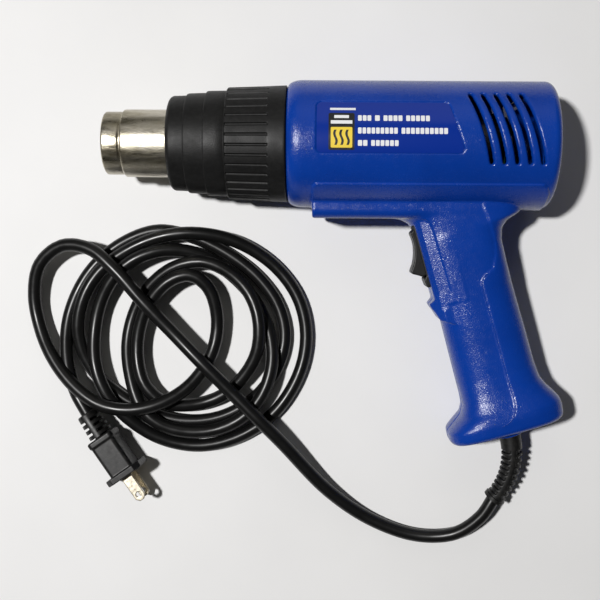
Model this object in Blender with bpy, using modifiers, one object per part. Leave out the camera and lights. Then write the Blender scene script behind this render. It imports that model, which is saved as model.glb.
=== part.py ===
"""A pistol-grip heat gun, lying on its side with its mains lead in a loose coil beside it.

Lengths are in metres. The gun is drawn in its own frame: X runs along the barrel towards the rear,
Y points up from the barrel's axis and away from the grip, and Z is the gun's left side, which faces up.
The empty "gun_frame" lays that frame on the bench: the barrel rests on its flank and the grip drops by
LEAN until its foot touches down. The origin is on the bench, below the middle of the gun's box.
"""

import math

import bmesh
import bpy
import numpy as np
from mathutils import Euler, Matrix, Vector

MM = 0.001

# Where the gun lies
BARREL_R = 35.5 * MM  # outside radius of the blue barrel, which is also its axis's height
LEAN = math.radians(5.0)  # how far the grip drops towards the bench
AXIS_Y = 67.3 * MM  # the barrel axis's place across the gun's box
GUN_TO_WORLD = Matrix.Translation((0, AXIS_Y, BARREL_R)) @ Matrix.Rotation(LEAN, 4, "X")

# Housing
GAP = 0.3 * MM  # left between pieces that touch
WALL = 2.5 * MM
BARREL_FRONT = -28.3 * MM
BARREL_REAR = 119.2 * MM
NECK_FRONT = -41.0 * MM
NECK_R = 29.6 * MM
SADDLE_FRONT, SADDLE_REAR = -14.5 * MM, 114.7 * MM
SADDLE_BOTTOM = -41.5 * MM
BEAM_REAR = 84.0 * MM  # where the boxy part of the saddle ends, inside the grip
SADDLE_HALF = 17.3 * MM
SADDLE_TOP = -22.6 * MM
SADDLE_PROUD = 1.0 * MM

# Grip: its centre line leaves GRIP_ORIGIN at GRIP_RAKE from square to the barrel
GRIP_ORIGIN = Vector((83.1 * MM, -100.0 * MM, 0))
GRIP_RAKE = math.radians(16.0)
GRIP_DOWN = Vector((math.sin(GRIP_RAKE), -math.cos(GRIP_RAKE), 0))
GRIP_FORE = Vector((-math.cos(GRIP_RAKE), -math.sin(GRIP_RAKE), 0))
GRIP_HALF = 16.7 * MM
FOOT_AT = 56.5 * MM  # how far down the centre line the foot is fullest
FOOT_HALF = (BARREL_R + (GRIP_ORIGIN.y + GRIP_DOWN.y * FOOT_AT) * math.sin(LEAN)) / math.cos(LEAN) - 0.1 * MM
# Each station of the grip: distance down the centre line, front edge, rear edge, half thickness
GRIP_STATIONS = [
    (-82.0 * MM, 40.0 * MM, -38.0 * MM, 16.0 * MM),
    (-73.0 * MM, 40.0 * MM, -38.0 * MM, 17.0 * MM),
    (-69.5 * MM, 30.5 * MM, -38.0 * MM, 17.4 * MM),
    (-65.5 * MM, 26.0 * MM, -38.0 * MM, 17.6 * MM),
    (-60.0 * MM, 23.7 * MM, -38.0 * MM, 17.6 * MM),
    (-55.2 * MM, 23.0 * MM, -38.0 * MM, 17.5 * MM),
    (-52.8 * MM, 22.7 * MM, -28.0 * MM, 17.4 * MM),
    (-49.3 * MM, 22.5 * MM, -24.4 * MM, 17.2 * MM),
    (-43.0 * MM, 22.2 * MM, -22.5 * MM, 17.0 * MM),
    (-30.0 * MM, 22.0 * MM, -22.1 * MM, GRIP_HALF),
    (-8.0 * MM, 22.4 * MM, -22.4 * MM, GRIP_HALF),
    (12.0 * MM, 22.7 * MM, -22.8 * MM, GRIP_HALF),
    (30.0 * MM, 22.9 * MM, -23.0 * MM, 17.2 * MM),
    (38.5 * MM, 22.9 * MM, -23.6 * MM, 17.8 * MM),
    (44.0 * MM, 23.3 * MM, -26.0 * MM, 18.6 * MM),
    (49.0 * MM, 25.6 * MM, -30.4 * MM, 20.0 * MM),
    (53.0 * MM, 31.0 * MM, -33.2 * MM, FOOT_HALF - 0.5 * MM),
    (FOOT_AT, 35.6 * MM, -33.6 * MM, FOOT_HALF),
    (60.5 * MM, 35.4 * MM, -32.6 * MM, FOOT_HALF - 0.5 * MM),
    (63.2 * MM, 33.4 * MM, -29.6 * MM, FOOT_HALF - 1.8 * MM),
    (65.0 * MM, 28.6 * MM, -23.5 * MM, FOOT_HALF - 4.5 * MM),
]
GRIP_CAVITY_END = 61.5 * MM
GRIP_SQUARENESS = 2.5  # exponent of the superellipse that rounds the grip's section
GRIP_SIDES = 20

# Switch: its face lies along the grip's front edge
SWITCH_AT = Vector((47.7 * MM, -63.0 * MM, 0))
SWITCH_RAKE = math.radians(21.0)
SWITCH_DOWN = Vector((math.sin(SWITCH_RAKE), -math.cos(SWITCH_RAKE), 0))
SWITCH_OUT = Vector((-math.cos(SWITCH_RAKE), -math.sin(SWITCH_RAKE), 0))
SWITCH_WELL = 15.2 * MM  # width of the slot that the rocker moves in
PIVOT_DOWN, PIVOT_OUT = -1.5 * MM, -3.0 * MM  # the rocker's pin, from SWITCH_AT

# Heater and nozzle
NOZZLE_TIP = -131.0 * MM
NOZZLE_R = 18.9 * MM
NOZZLE_TIP_R = 17.6 * MM
SHIELD_FRONT = -94.3 * MM
SHIELD_REAR = BARREL_FRONT - GAP

# Mains lead
CORD_R = 3.9 * MM
BOOT_R = 6.3 * MM
PLUG_TAIL = Vector((-147.5 * MM, -88.7 * MM, 13.0 * MM))
PLUG_HEADING = math.radians(-55.0)

BLUE = ((0.012, 0.062, 0.42, 1), 0.38, 0.0)
DARK_BLUE = ((0.010, 0.045, 0.30, 1), 0.45, 0.0)
BLACK_PLASTIC = ((0.012, 0.012, 0.013, 1), 0.5, 0.0)
BLACK_RUBBER = ((0.009, 0.009, 0.010, 1), 0.35, 0.0)
STEEL = ((0.56, 0.53, 0.46, 1), 0.25, 1.0)
DARK_STEEL = ((0.30, 0.30, 0.31, 1), 0.4, 1.0)
BRASS = ((0.70, 0.56, 0.32, 1), 0.3, 1.0)
COPPER = ((0.72, 0.38, 0.22, 1), 0.3, 1.0)
MICA = ((0.55, 0.45, 0.30, 1), 0.6, 0.0)
CERAMIC = ((0.80, 0.77, 0.70, 1), 0.7, 0.0)
BOARD = ((0.05, 0.22, 0.10, 1), 0.5, 0.0)
NICHROME = ((0.38, 0.35, 0.33, 1), 0.35, 1.0)


# ---------------------------------------------------------------- tools


def clear_scene():
    for obj in list(bpy.data.objects):
        bpy.data.objects.remove(obj)


def make_collections():
    parts = bpy.data.collections.new("heat_gun")
    cutters = bpy.data.collections.new("cutters")
    bpy.context.scene.collection.children.link(parts)
    bpy.context.scene.collection.children.link(cutters)
    return parts, cutters


def material(name, look):
    colour, roughness, metallic = look
    made = bpy.data.materials.get(name) or bpy.data.materials.new(name)
    made.use_nodes = True
    shader = made.node_tree.nodes["Principled BSDF"]
    shader.inputs["Base Color"].default_value = colour
    shader.inputs["Roughness"].default_value = roughness
    shader.inputs["Metallic"].default_value = metallic
    return made


def scratch(name, mesh):
    """An object that another one is cut or joined with."""
    obj = bpy.data.objects.new(name, mesh)
    CUTTERS.objects.link(obj)
    obj.hide_render = True
    obj.display_type = "WIRE"
    return obj


def face_outwards(bm):
    bmesh.ops.recalc_face_normals(bm, faces=bm.faces)
    if bm.calc_volume(signed=True) < 0:
        bmesh.ops.reverse_faces(bm, faces=bm.faces)


def from_bmesh(name, bm):
    mesh = bpy.data.meshes.new(name)
    face_outwards(bm)
    bm.to_mesh(mesh)
    bm.free()
    return scratch(name, mesh)


def bake(obj, reface=True):
    """Replaces an object's modifiers, or a curve, by the closed mesh that they make."""
    bpy.context.view_layer.update()
    graph = bpy.context.evaluated_depsgraph_get()
    mesh = bpy.data.meshes.new_from_object(obj.evaluated_get(graph), depsgraph=graph)
    bm = bmesh.new()
    bm.from_mesh(mesh)
    bmesh.ops.remove_doubles(bm, verts=bm.verts, dist=1e-6)
    if reface:  # not after a Boolean, whose cavities have to go on facing inwards
        face_outwards(bm)
    bm.to_mesh(mesh)
    bm.free()
    if obj.type == "MESH":
        obj.modifiers.clear()
        obj.data = mesh
        return obj
    made = scratch(obj.name + "_mesh", mesh)
    made.matrix_world = obj.matrix_world
    bpy.data.objects.remove(obj)
    return made


def boolean(target, tool, operation):
    step = target.modifiers.new(operation.lower(), "BOOLEAN")
    step.object = tool
    step.operation = operation
    step.solver = "EXACT"
    bake(target, reface=False)
    bpy.data.objects.remove(tool)
    return target


def cut(target, *tools):
    for tool in tools:
        boolean(target, tool, "DIFFERENCE")
    return target


def join(target, *tools):
    for tool in tools:
        boolean(target, tool, "UNION")
    return target


def keep(target, tool):
    return boolean(target, tool, "INTERSECT")


def box(low, high, bevel=0.0, segments=2):
    """A block between two corners, with its long edges rounded if bevel is given."""
    low, high = Vector(low), Vector(high)
    bm = bmesh.new()
    bmesh.ops.create_cube(bm, size=1.0)
    bmesh.ops.scale(bm, vec=high - low, verts=bm.verts)
    bmesh.ops.translate(bm, vec=(low + high) / 2, verts=bm.verts)
    if bevel:
        bmesh.ops.bevel(bm, geom=bm.edges[:], offset=bevel, segments=segments, affect="EDGES")
    return from_bmesh("box", bm)


def rod(start, end, radius, sides=16, end_radius=None):
    """A cylinder or cone from one point to another."""
    start, end = Vector(start), Vector(end)
    bm = bmesh.new()
    bmesh.ops.create_cone(
        bm,
        cap_ends=True,
        segments=sides,
        radius1=radius,
        radius2=radius if end_radius is None else end_radius,
        depth=(end - start).length,
    )
    turn = (end - start).to_track_quat("Z", "X").to_matrix().to_4x4()
    bm.transform(Matrix.Translation((start + end) / 2) @ turn)
    return from_bmesh("rod", bm)


def turned(profile, sides=32, closed=False):
    """A profile of (x, radius) pairs turned about the barrel's axis by a Screw modifier."""
    mesh = bpy.data.meshes.new("turned")
    count = len(profile)
    edges = [(i, i + 1) for i in range(count - 1)] + ([(count - 1, 0)] if closed else [])
    mesh.from_pydata([(x, 0, radius) for x, radius in profile], edges, [])
    obj = scratch("turned", mesh)
    screw = obj.modifiers.new("turn", "SCREW")
    screw.axis = "X"
    screw.steps = screw.render_steps = sides
    screw.use_merge_vertices = True
    screw.merge_threshold = 1e-5
    return bake(obj)


def pipe(outer, inner, sides=32):
    """A turned sleeve between an outer profile, front to rear, and an inner one, front to rear."""
    return turned(list(outer) + list(reversed(inner)), sides, closed=True)


def slab(outline, low, high):
    """A flat outline in X and Y, filled and extruded between two heights."""
    curve = bpy.data.curves.new("slab", "CURVE")
    curve.dimensions = "2D"
    curve.fill_mode = "BOTH"
    curve.extrude = (high - low) / 2
    spline = curve.splines.new("POLY")
    spline.points.add(len(outline) - 1)
    for point, place in zip(spline.points, outline):
        point.co = (place[0], place[1], 0, 1)
    spline.use_cyclic_u = True
    obj = bpy.data.objects.new("slab", curve)
    CUTTERS.objects.link(obj)
    obj.location.z = (low + high) / 2
    made = bake(obj)
    made.data.transform(made.matrix_world)
    made.matrix_world = Matrix.Identity(4)
    return made


def tube(points, radius, resolution=2, radii=None):
    """A filled tube along points; radii, if given, scale it from point to point."""
    curve = bpy.data.curves.new("tube", "CURVE")
    curve.dimensions = "3D"
    curve.bevel_depth = radius
    curve.bevel_resolution = resolution
    curve.use_fill_caps = True
    spline = curve.splines.new("POLY")
    spline.points.add(len(points) - 1)
    for i, place in enumerate(points):
        spline.points[i].co = (*place, 1)
        spline.points[i].radius = radii[i] if radii else 1.0
    obj = bpy.data.objects.new("tube", curve)
    CUTTERS.objects.link(obj)
    return bake(obj)


def smooth_through(points, count):
    """A number of evenly spaced points on a centripetal Catmull-Rom curve through points."""
    given = [Vector(p) for p in points]
    given = [2 * given[0] - given[1], *given, 2 * given[-1] - given[-2]]
    fine = []
    for a, b, c, d in zip(given, given[1:], given[2:], given[3:]):
        t1 = (b - a).length ** 0.5
        t2 = t1 + (c - b).length ** 0.5
        t3 = t2 + (d - c).length ** 0.5
        for k in range(12):
            t = t1 + (t2 - t1) * k / 12
            ab = a.lerp(b, t / t1)
            bc = b.lerp(c, (t - t1) / (t2 - t1))
            cd = c.lerp(d, (t - t2) / (t3 - t2))
            fine.append(ab.lerp(bc, t / t2).lerp(bc.lerp(cd, (t - t1) / (t3 - t1)), (t - t1) / (t2 - t1)))
    fine.append(given[-2])
    line = np.array(fine)
    along = np.concatenate([[0], np.cumsum(np.linalg.norm(np.diff(line, axis=0), axis=1))])
    at = np.linspace(0, along[-1], count)
    return [Vector([np.interp(s, along, line[:, k]) for k in range(3)]) for s in at]


def loft(rings):
    """Joins rings of points, each with the same number, into one closed skin."""
    bm = bmesh.new()
    rows = [[bm.verts.new(p) for p in ring] for ring in rings]
    sides = len(rows[0])
    for a, b in zip(rows, rows[1:]):
        for i in range(sides):
            bm.faces.new((a[i], a[(i + 1) % sides], b[(i + 1) % sides], b[i]))
    bm.faces.new(rows[0])
    bm.faces.new(rows[-1])
    return from_bmesh("loft", bm)


def finish(obj, name, look, parent=None, round_piece=True):
    """Turns a worked shape into a named part of the gun."""
    obj.name = name
    obj.data.name = name
    for collection in list(obj.users_collection):
        collection.objects.unlink(obj)
    PARTS.objects.link(obj)
    obj.hide_render = False
    obj.display_type = "TEXTURED"
    obj.data.materials.clear()
    obj.data.materials.append(material(name, look))
    if round_piece:
        obj.data.shade_smooth()
        obj.data.set_sharp_from_angle(angle=math.radians(30))
    obj.parent = parent
    return obj


def empty(name, matrix, parent=None):
    made = bpy.data.objects.new(name, None)
    made.empty_display_size = 0.02
    PARTS.objects.link(made)
    made.parent = parent
    made.matrix_local = matrix
    return made


def grip_point(down, fore, side=0.0):
    return GRIP_ORIGIN + GRIP_DOWN * down + GRIP_FORE * fore + Vector((0, 0, side))


def switch_point(down, out, side=0.0):
    return SWITCH_AT + SWITCH_DOWN * down + SWITCH_OUT * out + Vector((0, 0, side))


# ---------------------------------------------------------------- housing


def barrel_solid(inset=0.0):
    """The barrel's outside, or the cavity inside it when inset by the wall."""
    front, rear, radius = BARREL_FRONT + inset, BARREL_REAR - inset, BARREL_R - inset
    nose, tail = max(7.0 * MM - inset, 1.0 * MM), max(4.5 * MM - inset, 1.0 * MM)
    nose_drop = nose * 0.5
    profile = [(front, 0.0), (front, radius - nose_drop)]
    profile += [
        (front + nose * math.sin(a) * 1.0, radius - nose_drop * (1 - math.sin(a)))
        for a in (math.radians(30), math.radians(60), math.radians(90))
    ]
    profile += [
        (rear - tail * (1 - math.sin(a)), radius - tail * (1 - math.cos(a)))
        for a in (0, math.radians(30), math.radians(60), math.radians(90))
    ]
    profile.append((rear, 0.0))
    return turned(profile)


def saddle_solid(inset=0.0):
    """The boxy rib under the barrel that the grip grows out of."""
    corner = 6.0 * MM - inset
    low, half = SADDLE_BOTTOM + inset, SADDLE_HALF - inset
    section = [(-3.0 * MM, half)]
    for turn in (0, 22.5, 45, 67.5, 90):
        a = math.radians(turn)
        section.append((low + corner * (1 - math.sin(a)), half - corner * (1 - math.cos(a))))
    section += [(y, -z) for y, z in reversed(section)]
    ends = (SADDLE_FRONT + inset, BEAM_REAR - inset)
    return loft([[Vector((x, y, z)) for y, z in section] for x in ends])


def saddle_skin():
    """A thin layer that stands proud of the barrel's lower half."""
    skin = turned(
        [
            (SADDLE_FRONT, 0.0),
            (SADDLE_FRONT, BARREL_R + SADDLE_PROUD),
            (SADDLE_REAR, BARREL_R + SADDLE_PROUD),
            (SADDLE_REAR, 0.0),
        ]
    )
    far = 60 * MM
    return keep(skin, box((SADDLE_FRONT - far, -far, -far), (SADDLE_REAR + far, SADDLE_TOP, far)))


def grip_ring(down, front, rear, half, inset=0.0):
    middle, reach = (front + rear) / 2, (front - rear) / 2 - inset
    ring = []
    for i in range(GRIP_SIDES):
        angle = 2 * math.pi * i / GRIP_SIDES
        c, s = math.cos(angle), math.sin(angle)
        power = 2 / GRIP_SQUARENESS
        fore = middle + reach * math.copysign(abs(c) ** power, c)
        side = (half - inset) * math.copysign(abs(s) ** power, s)
        ring.append(grip_point(down, fore, side))
    return ring


def grip_solid(inset=0.0):
    stations = GRIP_STATIONS
    if inset:
        stations = [s for s in stations if s[0] < GRIP_CAVITY_END - 2 * MM]
        stations.append((GRIP_CAVITY_END, 32.0 * MM, -27.0 * MM, FOOT_HALF - 3.0 * MM))
    return loft([grip_ring(*s, inset=inset) for s in stations])


def finger_stop():
    """The small pointed ledge below the switch."""
    outline = [
        grip_point(-24 * MM, 12 * MM),
        grip_point(-21.5 * MM, 22.5 * MM),
        grip_point(-18.3 * MM, 26.6 * MM),
        grip_point(-16.8 * MM, 26.4 * MM),
        grip_point(-12 * MM, 24.0 * MM),
        grip_point(-7 * MM, 22.4 * MM),
        grip_point(-4 * MM, 12 * MM),
    ]
    return slab([(p.x, p.y) for p in outline], -9.5 * MM, 9.5 * MM)


def cord_ring():
    """The short collar round the hole where the lead comes out."""
    return rod(grip_point(62 * MM, 0.9 * MM), grip_point(68.6 * MM, 0.9 * MM), 8.2 * MM, 24)


def vent_cutters():
    """Five curved air slots through each flank at the rear of the barrel."""
    half_width = 1.8 * MM
    top, bend, bottom = (71.0, 23.5), (76.6, 9.0), (81.6, -10.8)
    spine = [Vector((x * MM, y * MM, 0)) for x, y in (top, bend, bottom)]
    line = smooth_through(spine, 5)
    cutters = []
    for slot in range(5):
        shift = Vector((slot * 6.9 * MM, 0, 0))
        left, right = [], []
        for i, p in enumerate(line):
            ahead = (line[min(i + 1, 4)] - line[max(i - 1, 0)]).normalized()
            across = Vector((-ahead.y, ahead.x, 0)) * half_width
            left.append(p + across + shift)
            right.append(p - across + shift)
        first = (line[0] - line[1]).normalized() * half_width
        last = (line[-1] - line[-2]).normalized() * half_width
        outline = [line[0] + first + shift, *right, line[-1] + last + shift, *reversed(left)]
        flat = [(p.x, p.y) for p in outline]
        cutters.append(slab(flat, 15 * MM, 45 * MM))
        cutters.append(slab(flat, -45 * MM, -15 * MM))
    return cutters


def label_outline(inset=0.0):
    return [
        ((-12.4 * MM) + inset, -7.4 * MM + inset),
        (68.0 * MM - inset * 1.3, -7.4 * MM + inset),
        (58.6 * MM - inset * 1.3, 20.4 * MM - inset),
        ((-12.4 * MM) + inset, 20.4 * MM - inset),
    ]


def label_cutter():
    """A shallow pocket in the left flank for the rating plate."""
    pocket = slab(label_outline(), 20 * MM, 40 * MM)
    return cut(pocket, turned([(-40 * MM, 0), (-40 * MM, BARREL_R - 0.9 * MM), (90 * MM, BARREL_R - 0.9 * MM), (90 * MM, 0)]))


def label_plate():
    plate = slab(label_outline(0.4 * MM), 20 * MM, 40 * MM)
    cut(plate, turned([(-40 * MM, 0), (-40 * MM, BARREL_R - 0.6 * MM), (90 * MM, BARREL_R - 0.6 * MM), (90 * MM, 0)]))
    keep(plate, turned([(-40 * MM, 0), (-40 * MM, BARREL_R - 0.1 * MM), (90 * MM, BARREL_R - 0.1 * MM), (90 * MM, 0)]))
    return finish(plate, "label_plate", DARK_BLUE, GUN)


# Each housing screw's place in X and Y
SCREW_PLACES = [
    (-6.0 * MM, -37.2 * MM),
    (87.0 * MM, -50.6 * MM),
    (104.0 * MM, 24.5 * MM),
    (74.0 * MM, -102.0 * MM),
    (108.5 * MM, -138.0 * MM),
    (86.0 * MM, -160.0 * MM),
]
BOSS_R = 3.2 * MM


def housing():
    """Both halves of the clamshell."""
    shell = barrel_solid()
    join(shell, saddle_solid(), saddle_skin(), grip_solid(), finger_stop(), cord_ring())
    neck_end = BARREL_FRONT + 4 * MM
    join(shell, rod((NECK_FRONT, 0, 0), (neck_end, 0, 0), NECK_R, 32))
    cavity = barrel_solid(WALL)
    join(cavity, saddle_solid(WALL), grip_solid(WALL))
    for x, y in SCREW_PLACES:
        cut(cavity, rod((x, y, -50 * MM), (x, y, 50 * MM), BOSS_R, 8))
    rib = 32.4 * MM
    cut(cavity, pipe([(rib, 45 * MM), (rib + 2 * MM, 45 * MM)], [(rib, 30.5 * MM), (rib + 2 * MM, 30.5 * MM)]))
    join(cavity, rod((-33.8 * MM, 0, 0), (neck_end + 2 * MM, 0, 0), 27.7 * MM, 32))
    cut(shell, cavity)
    cut(shell, rod((NECK_FRONT - 5 * MM, 0, 0), (-35.6 * MM, 0, 0), 27.7 * MM, 32))
    cut(shell, rod((-40 * MM, 0, 0), (-30 * MM, 0, 0), 22.5 * MM, 32))
    cut(shell, *vent_cutters(), label_cutter(), switch_cutter(), boot_cutter())
    cut(shell, facet_cutter(-1), facet_cutter(1))
    for x, y in SCREW_PLACES:
        cut(shell, rod((x, y, -45 * MM), (x, y, 9 * MM), 1.7 * MM, 6))
        cut(shell, rod((x, y, -45 * MM), (x, y, -6.5 * MM), 2.7 * MM, 8))
    halves = {"left_shell": shell, "right_shell": scratch("right_shell", shell.data.copy())}
    far = 300 * MM
    keep(halves["left_shell"], box((-far, -far, GAP / 2), (far, far, far)))
    keep(halves["right_shell"], box((-far, -far, -far), (far, far, -GAP / 2)))
    for name, half in halves.items():
        finish(half, name, BLUE, GUN)


def housing_screws():
    for number, (x, y) in enumerate(SCREW_PLACES, 1):
        screw = rod((x, y, -8.6 * MM), (x, y, -6.8 * MM), 2.4 * MM, 10)
        join(screw, rod((x, y, -7.5 * MM), (x, y, 8.0 * MM), 1.35 * MM, 6))
        slot = box((x - 0.4 * MM, y - 3 * MM, -9 * MM), (x + 0.4 * MM, y + 3 * MM, -8.0 * MM))
        cut(screw, slot)
        finish(screw, f"housing_screw_{number}", DARK_STEEL, GUN)


def facet_cutter(side):
    """The flat beside the switch, where a finger reaches past the grip's edge."""
    outline = [
        (43.4 * MM, -47.5 * MM),
        (50.5 * MM, -43.5 * MM),
        (54.9 * MM, -54.6 * MM),
        (60.9 * MM, -74.1 * MM),
        (64.0 * MM, -84.2 * MM),
        (62.0 * MM, -90.5 * MM),
        (57.5 * MM, -88.5 * MM),
        (52.0 * MM, -89.0 * MM),
        (46.0 * MM, -70.0 * MM),
        (38.0 * MM, -50.0 * MM),
    ]
    low, high = sorted((side * 13.6 * MM, side * 30 * MM))
    return slab(outline, low, high)


# ---------------------------------------------------------------- switch


def switch_cutter():
    """The opening in the grip's front edge for the switch."""
    corners = [(-19.3, -15), (-19.3, 8), (18.9, 8), (18.9, -15)]
    flat = [switch_point(d * MM, o * MM) for d, o in corners]
    return slab([(p.x, p.y) for p in flat], -9.9 * MM, 9.9 * MM)


def switch_block(name, outline, low, high):
    flat = [switch_point(d * MM, o * MM) for d, o in outline]
    made = slab([(p.x, p.y) for p in flat], low, high)
    made.name = name
    return made


def switch():
    """The switch's case with its flange, and the rocker that tips in it."""
    flange = [(-18.9, -2.2), (-18.9, 0.6), (-17.9, 1.4), (13.4, 1.4), (14.2, 2.6), (17.4, 2.6), (18.5, 0.6), (18.5, -2.2)]
    case = switch_block("case", flange, -9.5 * MM, 9.5 * MM)
    body = [(-17.5, -17.5), (-17.5, -1.5), (17.3, -1.5), (17.3, -17.5)]
    join(case, switch_block("body", body, -9.0 * MM, 9.0 * MM))
    well = [(-17.1, -9.0), (-17.1, 9.0), (13.9, 9.0), (13.9, -9.0)]
    cut(case, switch_block("well", well, -SWITCH_WELL / 2, SWITCH_WELL / 2))
    finish(case, "switch_case", BLACK_PLASTIC, GUN)
    pivot = switch_point(PIVOT_DOWN, PIVOT_OUT)
    pivot_empty = empty("rocker_pivot", Matrix.Translation(pivot), GUN)
    profile = [
        (-15.4, -2.4), (-15.1, -0.2), (-12.9, 0.9), (-7.0, 1.0), (-3.1, 1.9), (0.2, 3.3), (2.9, 4.9), (5.0, 6.9),
        (6.6, 7.9), (7.8, 7.5), (9.8, 5.0), (11.2, 2.8), (11.0, -2.6), (4.0, -6.6), (-7.0, -6.6),
    ]
    half = SWITCH_WELL / 2 - 0.4 * MM
    rocker = switch_block("rocker", profile, -half, half)
    cut(rocker, rod(pivot + Vector((0, 0, -20 * MM)), pivot + Vector((0, 0, 20 * MM)), 1.4 * MM, 16))
    rocker.data.transform(Matrix.Translation(-pivot))
    finish(rocker, "switch_rocker", BLACK_PLASTIC, pivot_empty)
    pin = rod(pivot + Vector((0, 0, -half)), pivot + Vector((0, 0, half)), 1.0 * MM, 12)
    finish(pin, "rocker_pin", STEEL, GUN)


# ---------------------------------------------------------------- nozzle, heat shield and heater


def heat_shield():
    """The stepped black sleeve round the nozzle."""
    outer = [
        (SHIELD_FRONT, 24.4 * MM), (-92.4 * MM, 26.2 * MM), (-84.2 * MM, 26.8 * MM),
        (-83.6 * MM, 27.7 * MM), (-73.4 * MM, 28.2 * MM), (-72.8 * MM, 29.1 * MM), (-62.6 * MM, 29.6 * MM),
        (-61.6 * MM, 31.0 * MM), (SHIELD_REAR, 32.6 * MM),
    ]
    inner = [
        (SHIELD_FRONT, 19.6 * MM), (-92.0 * MM, 19.6 * MM), (-91.0 * MM, 24.0 * MM),
        (-62.0 * MM, 27.4 * MM), (-44.0 * MM, 28.6 * MM), (-42.0 * MM, 30.0 * MM), (SHIELD_REAR, 30.0 * MM),
    ]
    axis = empty("shield_axis", Matrix.Identity(4), GUN)
    finish(pipe(outer, inner), "heat_shield", BLACK_PLASTIC, axis)


def nozzle():
    outer = [
        (NOZZLE_TIP, 16.6 * MM), (-129.8 * MM, NOZZLE_TIP_R), (-121.4 * MM, NOZZLE_TIP_R), (-119.4 * MM, NOZZLE_R),
        (-37.4 * MM, NOZZLE_R),
        (-37.4 * MM, 27.2 * MM), (-36.2 * MM, 27.2 * MM),
    ]
    inner = [
        (NOZZLE_TIP, 15.2 * MM), (-129.8 * MM, 16.5 * MM), (-121.4 * MM, 16.5 * MM), (-119.0 * MM, 17.9 * MM),
        (-36.2 * MM, 17.9 * MM),
    ]
    tube_piece = pipe(outer, inner)
    for angle in FLANGE_ANGLES:
        y, z = 25.0 * MM * math.cos(angle), 25.0 * MM * math.sin(angle)
        cut(tube_piece, rod((-40 * MM, y, z), (-34 * MM, y, z), 1.7 * MM, 12))
    finish(tube_piece, "nozzle_tube", STEEL, GUN)


FLANGE_ANGLES = [math.radians(a) for a in (90, 210, 330)]


def flange_screws():
    for number, angle in enumerate(FLANGE_ANGLES, 1):
        y, z = 25.0 * MM * math.cos(angle), 25.0 * MM * math.sin(angle)
        screw = rod((-39.2 * MM, y, z), (-37.7 * MM, y, z), 2.2 * MM, 12)
        join(screw, rod((-38.2 * MM, y, z), (-35.8 * MM, y, z), 1.3 * MM, 12))
        finish(screw, f"flange_screw_{number}", DARK_STEEL, GUN)


def heater():
    sleeve = pipe([(-117.5 * MM, 17.5 * MM), (-38.0 * MM, 17.5 * MM)], [(-117.5 * MM, 16.9 * MM), (-38.0 * MM, 16.9 * MM)], 32)
    finish(sleeve, "mica_sleeve", MICA, GUN)
    cross = box((-113 * MM, -0.7 * MM, -12 * MM), (-44 * MM, 0.7 * MM, 12 * MM))
    join(cross, box((-113 * MM, -12 * MM, -0.7 * MM), (-44 * MM, 12 * MM, 0.7 * MM)))
    finish(cross, "heater_cross", MICA, GUN, round_piece=False)
    turns, per_turn, radius = 9, 8, 13.4 * MM
    first, last = -108 * MM, -49 * MM
    coil = []
    for i in range(turns * per_turn + 1):
        angle = 2 * math.pi * i / per_turn
        x = first + (last - first) * i / (turns * per_turn)
        coil.append((x, radius * math.cos(angle), radius * math.sin(angle)))
    finish(tube(coil, 0.6 * MM, 0), "heater_coil", NICHROME, GUN)
    disc = rod((-42.5 * MM, 0, 0), (-39.5 * MM, 0, 0), 16.4 * MM, 32)
    for angle in (45, 135, 225, 315):
        a = math.radians(angle)
        y, z = 9.5 * MM * math.cos(a), 9.5 * MM * math.sin(a)
        cut(disc, rod((-45 * MM, y, z), (-35 * MM, y, z), 4.6 * MM, 16))
    finish(disc, "heater_end_disc", CERAMIC, GUN)
    cutout = box((-38.9 * MM, -4 * MM, -3 * MM), (-31.5 * MM, 4 * MM, 3 * MM), 0.8 * MM, 1)
    finish(cutout, "thermal_cutout", CERAMIC, GUN)


# ---------------------------------------------------------------- motor and fan


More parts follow.
